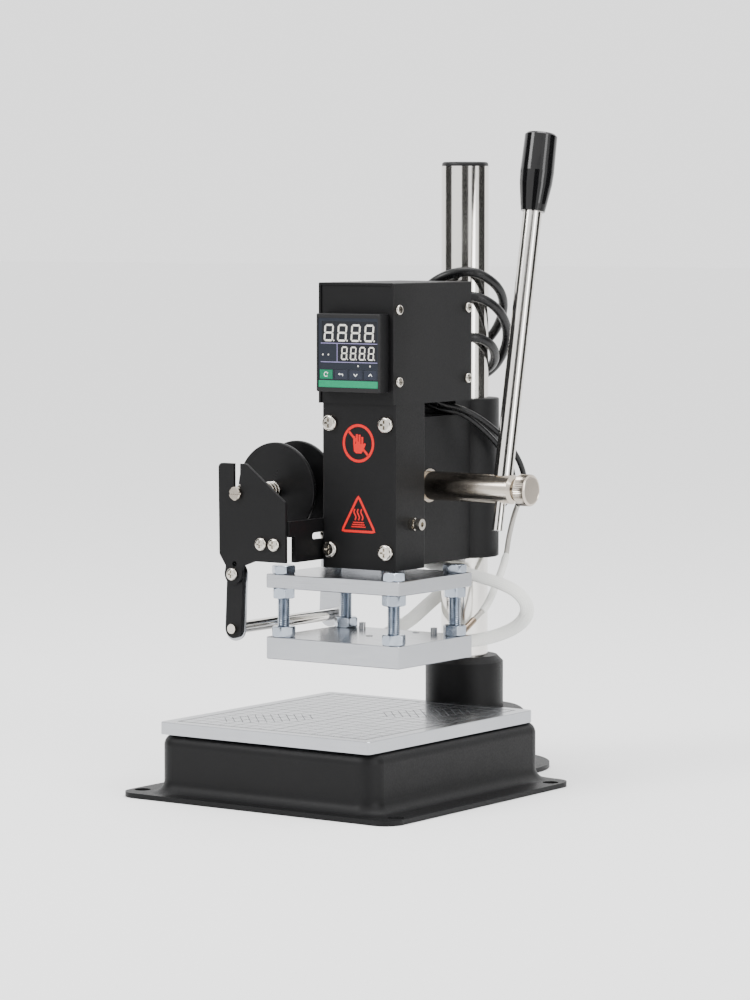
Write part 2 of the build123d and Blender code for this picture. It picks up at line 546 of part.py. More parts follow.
def box_pieces():
    inner = BOX_HALF - SHEET
    cover = block(-BOX_HALF, BOX_HALF, BOX_FRONT, BOX_REAR, BOX_Z0, BOX_TOP)
    cover = fillet(cover.edges().filter_by(Axis.Y).group_by(Z)[-1], 1.0)
    cover -= block(-inner, inner, BOX_FRONT, BOX_REAR, BOX_Z0, BOX_TOP - SHEET)
    cover -= block(-BOX_HALF, -inner, SWITCH_Y - SWITCH_L / 2, SWITCH_Y + SWITCH_L / 2,
                   SWITCH_Z - SWITCH_W / 2, SWITCH_Z + SWITCH_W / 2)
    side = inner - SLIDE
    panel_front = BOX_FRONT + 1.0
    top = BOX_TOP - SHEET - SLIDE
    chassis = block(-side, side, panel_front, BOX_REAR - 1, BOX_Z0, BOX_Z0 + SHEET)
    chassis += block(-side, side, panel_front, panel_front + SHEET, BOX_Z0, top)
    chassis += block(-side, side, BOX_REAR - 1 - SHEET, BOX_REAR - 1, BOX_Z0, top)
    for s in (-1, 1):
        for y0, y1 in ((panel_front, panel_front + 10), (BOX_REAR - 11, BOX_REAR - 1)):
            inside, outside = sorted((s * side, s * (side - SHEET)))
            chassis += block(inside, outside, y0, y1, BOX_Z0, top)
    opening = CASE / 2 + 0.2
    chassis -= block(-opening, opening, panel_front, panel_front + SHEET, BEZEL_Z - opening, BEZEL_Z + opening)
    chassis -= block(LEAD_HOLE[0], LEAD_HOLE[1], LEAD_HOLE[2], LEAD_HOLE[3], BOX_Z0, BOX_Z0 + SHEET)
    chassis -= rod((GLAND_X, BOX_REAR - 5, GLAND_Z), (0, 1, 0), GLAND_R - 1, 8)
    screws = []
    for y, z in BOX_SCREWS:
        for s in (-1, 1):
            cover -= rod((s * BOX_HALF, y, z), (-s, 0, 0), 1.7, SHEET)
            chassis -= rod((s * BOX_HALF, y, z), (-s, 0, 0), 1.5, 6)
            screws.append(pan_screw((s * BOX_HALF, y, z), (-s, 0, 0), 3.2, 2.0, 1.5, 4.5))
    for x, y in box_mount_places():
        chassis -= rod((x, y, BOX_Z0), (0, 0, 1), 2.1, SHEET)
        screws.append(pan_screw((x, y, BOX_Z0 + SHEET), (0, 0, -1), 3.8, 2.6, 2.0, 9))
    save("box_cover", cover)
    save("box_chassis", chassis)
    return screws


def controller_pieces():
    panel_front = BOX_FRONT + 1.0
    half = BEZEL / 2
    case = block(-half, half, BEZEL_FRONT, panel_front, BEZEL_Z - half, BEZEL_Z + half)
    case = fillet(case.edges().filter_by(Axis.Y), 1.0)
    case = chamfer(case.faces().sort_by(Axis.Y)[0].edges(), 0.5)
    case -= block(-FACE_X / 2, FACE_X / 2, BEZEL_FRONT, BEZEL_FRONT + 4.4,
                  BEZEL_Z - FACE_Z / 2, BEZEL_Z + FACE_Z / 2)
    case += block(-CASE / 2, CASE / 2, panel_front, CASE_REAR, BEZEL_Z - CASE / 2, BEZEL_Z + CASE / 2)
    face_y = BEZEL_FRONT + 0.3
    face = block(-FACE_X / 2, FACE_X / 2, face_y, face_y + FACE_T,
                 BEZEL_Z - FACE_Z / 2, BEZEL_Z + FACE_Z / 2)
    names = ("key_mode", "key_shift", "key_down", "key_up")
    for i, name in enumerate(names):
        x = (i - 1.5) * KEY_PITCH
        w, h = KEY_W / 2, KEY_H / 2
        face -= block(x - w - SLIDE, x + w + SLIDE, face_y, face_y + FACE_T,
                      KEY_Z - h - SLIDE, KEY_Z + h + SLIDE)
        key = block(x - w, x + w, face_y, face_y + KEY_T, KEY_Z - h, KEY_Z + h)
        save(name, fillet(key.faces().sort_by(Axis.Y)[0].edges(), 0.25))
    save("controller_case", case)
    save("controller_face", face)


def switch_pieces():
    """Rocker switch in the box's left side."""
    x = -BOX_HALF
    l, w = SWITCH_L / 2, SWITCH_W / 2
    body = block(x - 1.6, x, SWITCH_Y - l - 1, SWITCH_Y + l + 1, SWITCH_Z - w - 1, SWITCH_Z + w + 1)
    body += block(x, x + 14, SWITCH_Y - l, SWITCH_Y + l, SWITCH_Z - w, SWITCH_Z + w)
    body -= block(x - 2, x + 7, SWITCH_Y - l + 1.5, SWITCH_Y + l - 1.5,
                  SWITCH_Z - w + 1.5, SWITCH_Z + w - 1.5)
    reach = l - 1.5 - 1.2
    outline = Polyline((x - 4.4, SWITCH_Y - reach), (x - 1.9, SWITCH_Y), (x - 1.9, SWITCH_Y + reach),
                       (x + 1.2, SWITCH_Y + reach), (x + 2.4, SWITCH_Y), (x + 0.6, SWITCH_Y - reach),
                       close=True)
    rocker = extrude(Pos(0, 0, SWITCH_Z - w + 2) * make_face(outline), 2 * w - 4)
    save("switch_body", body)
    save("switch_rocker", rocker)


def mains_gland():
    """Cable gland in the rear panel: nut inside, dome outside."""
    outside = BOX_REAR - 1
    start = (GLAND_X, outside, GLAND_Z)
    gland = hexagon(start, (0, 1, 0), 2 * GLAND_R + 1, 3.0)
    gland += rod((GLAND_X, outside + 3, GLAND_Z), (0, 1, 0), GLAND_R - 1.5, 3.5)
    gland += rod((GLAND_X, outside - SHEET, GLAND_Z), (0, 1, 0), GLAND_R - 1, SHEET)
    gland += hexagon((GLAND_X, outside - SHEET - 3, GLAND_Z), (0, 1, 0), 2 * GLAND_R + 1, 3.0)
    return gland - rod((GLAND_X, outside - 6, GLAND_Z), (0, 1, 0), MAINS_R, 20)


# ---------------------------------------------------------------- foil holder
WEB_X = -HOUSING_HALF
FLANGE_SCREWS = [(-47.2, 152.0), (-37.3, 152.0)]


def web_screw_places():
    return [(19.0, 156.0), (36.0, 156.0)]


def foil_bracket():
    """Web on the housing's left side, with a bent ear at each end for the side plates."""
    inner = WEB_X - WEB_T
    front, rear = FOIL_FRONT + FOIL_T, FOIL_REAR - FOIL_T
    neck = WEB_Z1 - 9.5
    web = block(inner, WEB_X, WEB_FRONT, rear, WEB_Z0, WEB_Z1)
    web += block(inner, WEB_X, front, WEB_FRONT, neck, WEB_Z1)
    web += block(-54, inner, front, front + 2, neck, WEB_Z1 - 2)
    web += block(-54, inner - 4, front, front + 2, WEB_Z0 + 2, neck)
    web += block(-54, inner, rear - 2, rear, WEB_Z0 + 2, WEB_Z1 - 2)
    web -= block(inner, WEB_X, 3, 22, 153.8, 158.2)
    web -= rod((inner, 3, 156), (1, 0, 0), 2.2, WEB_T)
    web -= rod((inner, 22, 156), (1, 0, 0), 2.2, WEB_T)
    web -= rod((inner, web_screw_places()[1][0], 156), (1, 0, 0), 2.1, WEB_T)
    for x, z in FLANGE_SCREWS:
        web -= rod((x, front, z), (0, 1, 0), 2.0, 2)
        web -= rod((x, rear - 2, z), (0, 1, 0), 2.0, 2)
    return web


def side_plate(y0):
    """One of the two side plates: axle slot open at the top, neck for the guide arm below."""
    slot = AXLE_NECK_R + SLIDE
    right = FLANGE_SCREWS[1][0] + 8.3
    neck_r = 6.5
    px, pz = ARM_PIVOT
    outline = Polyline((-80.6, 201), (-59, 201), (right, 178), (right, 141), (-52.5, 141),
                       (px + neck_r + 1.6, pz + 5.5), (px + neck_r, pz), (px - neck_r, pz),
                       (px - neck_r + 0.8, pz + 5), (-80, 144.5), close=True)
    plate = make_face(outline)
    plate = fillet([v for v in plate.vertices() if v.Y > 140 and v.X < right - 1 or v.Y > 150], 3.0)
    plate += Pos(px, pz) * Circle(neck_r)
    plate -= Pos(AXLE_X, AXLE_Z) * Circle(slot)
    plate -= Pos(AXLE_X, AXLE_Z + 15) * Rectangle(2 * slot, 30)
    plate -= Pos(px, pz) * Circle(2.0 + SLIDE)
    plate -= Pos(px + 1.2, pz + 6.3) * Circle(1.7)
    for x, z in FLANGE_SCREWS:
        plate -= Pos(x, z) * Circle(2.1)
    plane = Plane(origin=(0, y0 + FOIL_T, 0), x_dir=(1, 0, 0), z_dir=(0, -1, 0))
    return extrude(plane * plate, FOIL_T)


def foil_screws():
    """Pan screws of the foil holder."""
    screws = []
    for x, z in FLANGE_SCREWS:
        screws.append(pan_screw((x, FOIL_FRONT, z), (0, 1, 0), 4.2, 2.6, 2.0, FOIL_T + 4))
        screws.append(pan_screw((x, FOIL_REAR, z), (0, -1, 0), 4.2, 2.6, 2.0, FOIL_T + 4))
    for y, z in web_screw_places():
        screws.append(pan_screw((WEB_X - WEB_T, y, z), (1, 0, 0), 3.8, 2.4, 2.0, WEB_T + 8))
    return screws


def foil_axle():
    """Axle that lifts out of the side plates' slots; its necks sit in the slots."""
    front, rear = FOIL_FRONT - 0.2 - AXLE_HEAD, FOIL_REAR + 0.2 + AXLE_HEAD
    axle = rod((AXLE_X, front, AXLE_Z), (0, 1, 0), AXLE_R, rear - front)
    axle = chamfer(axle.edges().filter_by(GeomType.CIRCLE), 0.5)
    for y in (FOIL_FRONT, FOIL_REAR - FOIL_T):
        start = (AXLE_X, y - 0.2, AXLE_Z)
        ring = rod(start, (0, 1, 0), AXLE_R + 1, FOIL_T + 0.4)
        ring -= rod(start, (0, 1, 0), AXLE_NECK_R, FOIL_T + 0.4)
        axle -= ring
    axle -= block(AXLE_X - 5, AXLE_X + 5, front, front + 1.4, AXLE_Z - 0.6, AXLE_Z + 0.6)
    stop = DISC_Y + DISC_T + DISC_GAP + DISC_T + 0.2
    start = (AXLE_X, stop, AXLE_Z)
    axle += rod(start, (0, 1, 0), 8.0, 7.0) - rod(start, (0, 1, 0), AXLE_R, 7.0)
    return axle


def foil_discs():
    """Two flanged discs that carry the foil roll's core between them."""
    discs = []
    for y, hub in ((DISC_Y, 1), (DISC_Y + DISC_T + DISC_GAP, -1)):
        disc = rod((AXLE_X, y, AXLE_Z), (0, 1, 0), DISC_R, DISC_T)
        disc = fillet(disc.edges().filter_by(GeomType.CIRCLE), 0.8)
        face = y + DISC_T if hub > 0 else y
        disc += rod((AXLE_X, face, AXLE_Z), (0, hub, 0), 10.0, 6.0)
        discs.append(disc - rod((AXLE_X, y - 10, AXLE_Z), (0, 1, 0), AXLE_R + RUN, 30))
    return discs


def strip(width, y0, thick, hole_r):
    """A straight link between the guide arm's pivot and its lower end."""
    (x0, z0), (x1, z1) = ARM_PIVOT, ARM_END
    length = math.hypot(x1 - x0, z1 - z0)
    turn = math.degrees(math.atan2(z1 - z0, x1 - x0))
    bar = Pos(length / 2, 0) * Rectangle(length, width)
    bar += Circle(width / 2) + Pos(length, 0) * Circle(width / 2)
    bar -= Circle(hole_r) + Pos(length, 0) * Circle(hole_r)
    plane = Plane(origin=(0, y0 + thick, 0), x_dir=(1, 0, 0), z_dir=(0, -1, 0))
    return extrude(plane * Pos(x0, z0) * Rot(0, 0, turn) * bar, thick)


ARM_FRONT = FOIL_FRONT + FOIL_T + SLIDE
ARM_REAR = FOIL_REAR - FOIL_T - SLIDE - FOIL_T
ROLLER_Y0 = ARM_FRONT + FOIL_T + BACKING_T + GAP
ROLLER_Y1 = ARM_REAR - BACKING_T - GAP


def guide_arm_pieces():
    arms = [strip(ARM_W, ARM_FRONT, FOIL_T, 2.0), strip(ARM_W, ARM_REAR, FOIL_T, 2.0)]
    backings = [strip(BACKING_W, ARM_FRONT + FOIL_T, BACKING_T, 2.0),
                strip(BACKING_W, ARM_REAR - BACKING_T, BACKING_T, 2.0)]
    px, pz = ARM_PIVOT
    ex, ez = ARM_END
    reach = FOIL_T * 2 + BACKING_T + SLIDE * 2
    screws = [pan_screw((px, FOIL_FRONT - SLIDE, pz), (0, 1, 0), 4.0, 2.4, 2.0, reach + 2.2),
              pan_screw((px, FOIL_REAR + SLIDE, pz), (0, -1, 0), 4.0, 2.4, 2.0, reach + 2.2)]
    for y, way in ((ARM_FRONT + FOIL_T + BACKING_T, 1), (ARM_REAR - BACKING_T, -1)):
        screws.append(hexagon((px, y, pz), (0, way, 0), 7, 2.0) - rod((px, y, pz), (0, way, 0), 2.0, 2.0))
    pin = rod((ex, ARM_FRONT - 2.2, ez), (0, 1, 0), 2.0, ARM_REAR + FOIL_T + 2.2 - ARM_FRONT + 2.2)
    pin += rod((ex, ARM_FRONT - 2.2, ez), (0, 1, 0), 3.0, 2.2)
    pin += rod((ex, ARM_REAR + FOIL_T, ez), (0, 1, 0), 3.0, 2.2)
    save("guide_arms", *arms)
    save("arm_backings", *backings)
    save("arm_screws", *screws, pin)
    roller = rod((ex, ROLLER_Y0, ez), (0, 1, 0), ROLLER_R, ROLLER_Y1 - ROLLER_Y0)
    save("foil_roller", roller - rod((ex, ROLLER_Y0, ez), (0, 1, 0), 2.0 + RUN, ROLLER_Y1 - ROLLER_Y0))


# ---------------------------------------------------------------- cables
HEATER_TAIL = HOT_MID_Y + HOT_Y / 2 + 2
GLAND_MOUTH = BOX_REAR - 1 + 6.5
MAINS_ROUTE = [(GLAND_X, GLAND_MOUTH, GLAND_Z), (GLAND_X, GLAND_MOUTH + 7, GLAND_Z)]
# Three loose turns round the column: angle from the right-hand side, radius, height.
MAINS_TURNS = [(172, 23.5, 251), (140, 22, 250), (110, 21.5, 249), (78, 21, 250), (45, 21, 254.5),
               (10, 20.5, 262), (-35, 21, 272), (-73, 22, 277.5), (-110, 24, 275), (-145, 27, 266.5),
               (178, 29, 257.5), (150, 30.5, 250), (120, 32, 246), (90, 32, 246), (60, 31, 251.5),
               (30, 28.5, 263), (0, 28.3, 280), (-42, 28.3, 295.5), (-79, 28, 304), (-115, 28.5, 301),
               (-150, 30, 290), (180, 30, 276), (150, 29, 266), (120, 28, 262), (90, 27, 263.5),
               (58, 26, 271.5), (30, 25.5, 283), (0, 25.6, 297.5), (-38, 25.5, 310.5), (-83, 26, 320),
               (-128, 28, 315), (-160, 31, 303), (172, 35, 285), (151, 37.5, 264), (133, 37.5, 243)]
MAINS_TAIL = [(-20.5, 30.5, 224), (-15, 32.8, 204), (-11, 33.4, 182), (-9, 33.5, 158), (-9, 33.5, 130),
              (-9, 34.5, 104), (-9, 39, 79), (-9, 46, 56), (-10, 55, 34), (-10, 65, 15.5), (-8, 80, 5),
              (-3, 98, MAINS_R + 0.2)]
# The cord's last run is a tangent of the coil's middle turn.
ENTRY_RUN = (5.0 / 18.68, 18.0 / 18.68)
COIL_LEAD_IN = 27.5
COIL_ACROSS = MAINS_TAIL[-1][0] + COIL_LEAD_IN * ENTRY_RUN[0] - COIL_MEAN_R * ENTRY_RUN[1]
COIL_BEHIND = MAINS_TAIL[-1][1] + COIL_LEAD_IN * ENTRY_RUN[1] + COIL_MEAN_R * ENTRY_RUN[0]


def mains_points():
    points = list(MAINS_ROUTE)
    for angle, radius, z in MAINS_TURNS:
        a = math.radians(angle)
        points.append(around_column(radius * math.cos(a), radius * math.sin(a), z))
    points += [around_column(across, behind, z) for across, behind, z in MAINS_TAIL]
    return points


SENSOR_LEAD = [(-1, 75, 262), (0.5, 76, 251), (4.5, 79, 241.5), (11.5, 84.5, 235.6), (20, 92, 233.2),
               (26, 101, 228.5), (31, 111, 221.5), (35, 121, 213), (37.5, 132, 202), (36.5, 143, 189),
               (31, 150.5, 177.5), (25, 153, 168.5)]
SENSOR_BRAID = [(24.6, 153.15, 167.8), (21.7, 154.4, 163.0), (19.5, 154, 155), (20, 149.5, 145.5),
                (24.5, 140.5, 137.5),
                (29.5, 129.5, 131), (33.5, 118, 124), (36, 107, 115.5), (37.3, 98, 108),
                probe_point(PROBE_OUT + 6.5), probe_point(PROBE_OUT)]
HEATER_LEAD = [(-6, 76, 258), (-4.5, 77.5, 247), (-0.5, 80.5, 237.5), (8, 86, 232), (17.5, 93, 231),
               (23.5, 102, 225), (27.5, 112, 217), (30, 122, 208.5), (31, 132.5, 198.5),
               (28.5, 142.5, 187.5), (22.5, 150, 177), (14.5, 155, 169), (6, 157.6, 163.5),
               (-2, 158, 158.6)]
BOOT = (-4.5, 157.5, 158.0)
BOOT_R, BOOT_H = 5.2, 12.0
HEATER_RIGHT = [(-5.5, 155, 144.7), (-7.5, 154.4, 140.0), (-12.5, 151, 135.3), (-18.5, 144.5, 132.5),
                (-22.5, 135.5, 131.3), (-23.5, 125.5, 131), (-19.5, 114, 131.2), (-10, 106, 131.3),
                (4, 102, 130.5),
                (19, 99.5, 128.5), (34, 98.5, 126), (48, 99, 123), (58, 101.5, 118.5), (63.5, 104, 111.5),
                (63.5, 105, 103.5), (57.5, 103, 96), (48, 97, 90.8), (39.5, 89, 88), (32, 80, 87.2),
                (HEATER_X, HEATER_TAIL + 6, HEATER_Z), (HEATER_X, HEATER_TAIL, HEATER_Z)]
HEATER_LEFT = [(-3.5, 159.9, 144.9), (-5, 160.4, 139.0), (-9, 158.5, 131), (-14.5, 152.5, 122.5),
               (-20, 144.5, 114.5),
               (-24.5, 135.5, 108.5), (-26, 125.5, 103.3), (-25, 113.5, 98.8), (-23, 101, 95.3),
               (-22.5, 88, 92),
               (-24.5, 78, 88.5), (-HEATER_X, HEATER_TAIL + 6, HEATER_Z),
               (-HEATER_X, HEATER_TAIL, HEATER_Z)]


def cables():
    save("mains_cord", cable("mains_cord", mains_points(), MAINS_R))
    save("sensor_lead", cable("sensor_lead", SENSOR_LEAD, LEAD_R))
    save("heater_lead", cable("heater_lead", HEATER_LEAD, LEAD_R), rod(BOOT, (0, 0, -1), BOOT_R, BOOT_H))
    save("sensor_braid", cable("sensor_braid", SENSOR_BRAID, BRAID_R))
    save("heater_sleeve_right", cable("heater_sleeve_right", HEATER_RIGHT, SLEEVE_LEAD_R))
    save("heater_sleeve_left", cable("heater_sleeve_left", HEATER_LEFT, SLEEVE_LEAD_R))


def coil_and_plug():
    """The stored length of mains cord, wound flat on the bench, and its plug beside it."""
    x, y, _ = around_column(COIL_ACROSS, COIL_BEHIND, 0)
    ring = Pos(x, y, COIL_H / 2 + 0.1) * Cylinder(COIL_MEAN_R + COIL_BAND_R, COIL_H)
    ring -= Pos(x, y, COIL_H / 2 + 0.1) * Cylinder(COIL_MEAN_R - COIL_BAND_R, COIL_H)
    save("mains_coil", ring)
    relief, body_l, half_w, height, pin_l = 18.0, 32.0, 13.0, 21.0, 18.0
    body = block(-half_w, half_w, relief, relief + body_l, 0.1, height)
    body = fillet(body.edges().filter_by(Axis.Y), 5)
    body += rod((0, relief, height / 2), (0, -1, 0), 5.0, relief)
    for dx in (-6.3, 6.3):
        body += block(dx - 0.8, dx + 0.8, relief + body_l, relief + body_l + pin_l, 7.3, 13.7)
    body += rod((0, relief + body_l, 16), (0, 1, 0), 2.3, pin_l + 2)
    start = around_column(COIL_ACROSS - COIL_MEAN_R, COIL_BEHIND - COIL_LEAD_IN - 2, 0)
    save("mains_plug", Pos(*start) * Rot(0, 0, 180 + DRESS_TURN) * body)


# ---------------------------------------------------------------- build
save("base_casting", base_casting())
column_pieces()
work_plate_pieces()
save("carriage", carriage())
save("height_clamp_screws", *clamp_screws())
save("guide_housing", guide_housing())
save("guide_cover", guide_cover())
save("guide_cover_screws", *guide_cover_screws())
save("gib_screw", *gib_screw())
save("pinion_bushes", *bushes())
save("ram", ram())
save("rack", rack())
save("return_spring", spring((0, SPRING_Y, PEG_Z1), (0, 0, 1), SPRING_R, SPRING_WIRE_R,
                             SPRING_TOP - PEG_Z1, SPRING_TURNS))
save("pinion_gear", pinion_gear())
save("pinion_shaft", pinion_shaft())
save("shaft_circlip", circlip())
lever_pieces()
save("lever_knob", lever_knob())
heating_head()
save("small_pan_screws", *box_pieces(), *foil_screws())
controller_pieces()
switch_pieces()
save("mains_gland", mains_gland())
save("foil_bracket", foil_bracket())
save("foil_plates", side_plate(FOIL_FRONT), side_plate(FOIL_REAR - FOIL_T))
save("foil_axle", foil_axle())
save("axle_spring", spring((AXLE_X, FOIL_FRONT + FOIL_T + 0.3, AXLE_Z), (0, 1, 0), AXLE_R + 0.75, 0.5,
                           DISC_Y - FOIL_FRONT - FOIL_T - 0.6, 12))
save("foil_discs", *foil_discs())
guide_arm_pieces()
cables()
coil_and_plug()
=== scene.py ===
"""Bench-top hot foil stamper: finishes, fine pieces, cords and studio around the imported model.

Everything is in metres, unless a comment says millimetres, in the model's own frame: +Z up, the front
faces -Y, +X is the lever's side.
"""

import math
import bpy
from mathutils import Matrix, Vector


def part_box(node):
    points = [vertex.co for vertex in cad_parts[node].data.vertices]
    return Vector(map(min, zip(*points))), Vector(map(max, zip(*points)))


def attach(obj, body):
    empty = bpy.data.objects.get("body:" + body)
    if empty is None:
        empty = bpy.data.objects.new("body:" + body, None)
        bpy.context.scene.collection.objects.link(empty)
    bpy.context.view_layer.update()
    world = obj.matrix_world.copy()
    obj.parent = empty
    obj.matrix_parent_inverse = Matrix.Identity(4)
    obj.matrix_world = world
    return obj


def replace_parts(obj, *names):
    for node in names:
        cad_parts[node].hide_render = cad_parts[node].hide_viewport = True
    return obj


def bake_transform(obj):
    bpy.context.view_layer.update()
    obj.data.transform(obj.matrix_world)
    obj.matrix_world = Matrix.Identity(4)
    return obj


bl_info = {
    "name": "Hot foil stamper",
    "version": (1, 0, 0),
    "blender": (4, 5, 0),
    "location": "3D View > Sidebar > Stamper",
    "description": "Finishes, fine pieces, cords and studio for a bench-top hot foil stamper",
    "category": "Object",
}

import bmesh
import bpy
import numpy as np
from mathutils import Vector

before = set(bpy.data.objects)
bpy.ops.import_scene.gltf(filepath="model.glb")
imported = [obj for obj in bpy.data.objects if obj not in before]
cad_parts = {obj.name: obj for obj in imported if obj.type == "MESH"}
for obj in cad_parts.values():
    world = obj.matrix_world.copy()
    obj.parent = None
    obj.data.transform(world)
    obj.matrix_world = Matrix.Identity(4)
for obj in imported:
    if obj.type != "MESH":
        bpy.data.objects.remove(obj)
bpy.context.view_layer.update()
MM = 0.001


def mm(*values):
    """A point given in millimetres."""
    return Vector(values) * MM


def middle_of(name):
    """The middle of a CAD node's box."""
    low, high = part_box(name)
    return (low + high) / 2


def linear(code):
    """A hex sRGB colour as linear red, green and blue."""
    shares = [int(code[i:i + 2], 16) / 255 for i in (1, 3, 5)]
    return tuple(c / 12.92 if c <= 0.04045 else ((c + 0.055) / 1.055) ** 2.4 for c in shares)


# ---------------------------------------------------------------- what a user would change
def colour(title, code, words):
    """A colour property whose default is a hex value."""
    return bpy.props.FloatVectorProperty(name=title, description=words, subtype="COLOR", size=3, min=0, max=1,
                                         default=linear(code))


def length(title, size, words):
    """A length property whose default is in metres."""
    return bpy.props.FloatProperty(name=title, description=words, subtype="DISTANCE", unit="LENGTH", min=0,
                                   default=size, precision=5)


class StamperFinishes(bpy.types.PropertyGroup):
    """Colours of the stamper's finishes."""
    paint: colour("Paint", "#0f0f10", "Powder coat on base, head, box and foil holder")
    plate: colour("Plates", "#a9abaf", "Milled aluminium of the heated pair and the work plate")
    chrome: colour("Chrome", "#e2dfda", "Hard chrome of the column, the lever and the foil roller")
    sleeve: colour("Sleeves", "#f0f0eb", "Woven sleeves of the heaters' leads")
    sign: colour("Signs", "#cf1510", "Printed warning signs")
    grip: colour("Grip", "#0b0b0c", "Moulded lever grip")


class StamperSizes(bpy.types.PropertyGroup):
    """Sizes of the pieces that are made here."""
    thread_pitch: length("Thread pitch", 1.25 * MM, "Pitch of the plate bolts' M8 thread")
    grid_pitch: length("Grid pitch", 10 * MM, "Distance between the work plate's engraved lines")
    line_width: length("Line width", 0.32 * MM, "Width of an engraved line")
    sleeve_width: length("Sleeve width", 9.0 * MM, "Width of a flattened woven sleeve")
    sleeve_thickness: length("Sleeve thickness", 3.2 * MM, "Thickness of a flattened woven sleeve")
    knurl_depth: length("Knurl depth", 0.35 * MM, "Depth of the thumb screw's knurling")


def finishes():
    return bpy.context.scene.stamper_finishes


def sizes():
    return bpy.context.scene.stamper_sizes


# ---------------------------------------------------------------- materials
def add_node(tree, kind, settings=None, inputs=None):
    """One node with its settings, and for each input a value or the socket that feeds it."""
    node = tree.nodes.new(kind)
    for name, value in (settings or {}).items():
        setattr(node, name, value)
    for name, value in (inputs or {}).items():
        if isinstance(value, bpy.types.NodeSocket):
            tree.links.new(value, node.inputs[name])
        else:
            node.inputs[name].default_value = value
    return node


def new_material(name, base, **shader):
    """A material of one colour, and its node tree. Inputs of the shader are named with _ for a space."""
    material = bpy.data.materials.new(name)
    material.use_nodes = True
    tree = material.node_tree
    inputs = tree.nodes["Principled BSDF"].inputs
    inputs["Base Color"].default_value = (*base, 1)
    for title, value in shader.items():
        inputs[title.replace("_", " ")].default_value = value
    return material, tree


def grain(tree, size, detail=3.0):
    """Noise whose grains measure size = one number or (x, y, z) in millimetres: the socket of its value."""
    across = size if isinstance(size, tuple) else (size,) * 3
    place = add_node(tree, "ShaderNodeTexCoord")
    spread = add_node(tree, "ShaderNodeMapping", inputs={
        "Vector": place.outputs["Object"], "Scale": tuple(1 / (a * MM) for a in across)})
    return add_node(tree, "ShaderNodeTexNoise", inputs={
        "Vector": spread.outputs["Vector"], "Scale": 1.0, "Detail": detail, "Roughness": 0.55}).outputs["Fac"]


def uneven_gloss(tree, value, low, high):
    """Roughness from low to high by the value of a noise."""
    spread = add_node(tree, "ShaderNodeMapRange", inputs={
        "Value": value, "From Min": 0.3, "From Max": 0.7, "To Min": low, "To Max": high})
    tree.links.new(spread.outputs["Result"], tree.nodes["Principled BSDF"].inputs["Roughness"])


def uneven_colour(tree, value, dark, light, ends=(0.3, 0.7)):
    """Colour from dark to light by a value: all dark and all light at its two ends."""
    spread = add_node(tree, "ShaderNodeMapRange", inputs={
        "Value": value, "From Min": ends[0], "From Max": ends[1]})
    mix = add_node(tree, "ShaderNodeMix", {"data_type": "RGBA"}, {
        "Factor": spread.outputs["Result"], "A": (*dark, 1), "B": (*light, 1)})
    tree.links.new(mix.outputs["Result"], tree.nodes["Principled BSDF"].inputs["Base Color"])


def relief(tree, height, depth, strength):
    """Surface relief from a height value, depth millimetres deep."""
    bump = add_node(tree, "ShaderNodeBump", inputs={
        "Height": height, "Distance": depth * MM, "Strength": strength})
    tree.links.new(bump.outputs["Normal"], tree.nodes["Principled BSDF"].inputs["Normal"])


def shades(base, spread):
    """A darker and a lighter shade of a colour."""
    return [tuple(min(1.0, c * k) for c in base) for k in (1 - spread, 1 + spread)]


def powder_coat():
    """Fine-texture black powder coat, sprayed and baked on steel: soft sheen over tiny grains.
    The real grains are 0.3 mm; they are drawn 0.8 mm wide so that they show."""
    base = finishes().paint
    material, tree = new_material("powder_coat_black", base, IOR=1.5, Specular_IOR_Level=0.17)
    fine = grain(tree, 0.8, 2.0)
    uneven_colour(tree, grain(tree, 35), *shades(base, 0.12))
    uneven_gloss(tree, fine, 0.38, 0.56)
    relief(tree, fine, 0.10, 0.55)
    return material


def hard_chrome():
    """Hard chrome, ground and polished on round bar: mirror bright, a little hazy in long patches."""
    material, tree = new_material("hard_chrome", finishes().chrome, Metallic=1.0)
    uneven_gloss(tree, grain(tree, (18, 18, 60)), 0.10, 0.17)
    return material


def turned_nickel():
    """Satin nickel over turned steel: fine rings round the shaft, warm grey."""
    material, tree = new_material("turned_satin_nickel", linear("#b9b0a4"), Metallic=1.0)
    uneven_gloss(tree, grain(tree, (0.35, 30, 30)), 0.16, 0.24)
    return material


def milled_aluminium():
    """Aluminium plate, face milled and lightly blasted: pale, with a faint lay along X."""
    base = finishes().plate
    material, tree = new_material("milled_aluminium", base, Metallic=1.0)
    uneven_colour(tree, grain(tree, 40), *shades(base, 0.04))
    uneven_gloss(tree, grain(tree, (14, 0.45, 0.45)), 0.14, 0.26)
    relief(tree, grain(tree, 0.7, 2.0), 0.004, 0.3)
    return material


def zinc_plate():
    """Blue-white zinc plating on steel bolts and nuts: bright, slightly cloudy, a touch of blue."""
    base = linear("#a3abb6")
    material, tree = new_material("zinc_plate_blue_white", base, Metallic=1.0)
    cloud = grain(tree, 3)
    uneven_colour(tree, cloud, *shades(base, 0.1))
    uneven_gloss(tree, cloud, 0.12, 0.24)
    return material


def nickel_plate():
    """Bright nickel on pan-head screws: pale and glossy, with faint wear."""
    material, tree = new_material("bright_nickel", linear("#c4bfb6"), Metallic=1.0)
    uneven_gloss(tree, grain(tree, 1.2), 0.08, 0.18)
    return material


def black_oxide():
    """Black oxide on steel screws and the retaining ring: dark, oily, half matt."""
    material, tree = new_material("black_oxide_steel", linear("#2a2b2d"), Metallic=1.0)
    uneven_gloss(tree, grain(tree, 0.8), 0.28, 0.44)
    return material


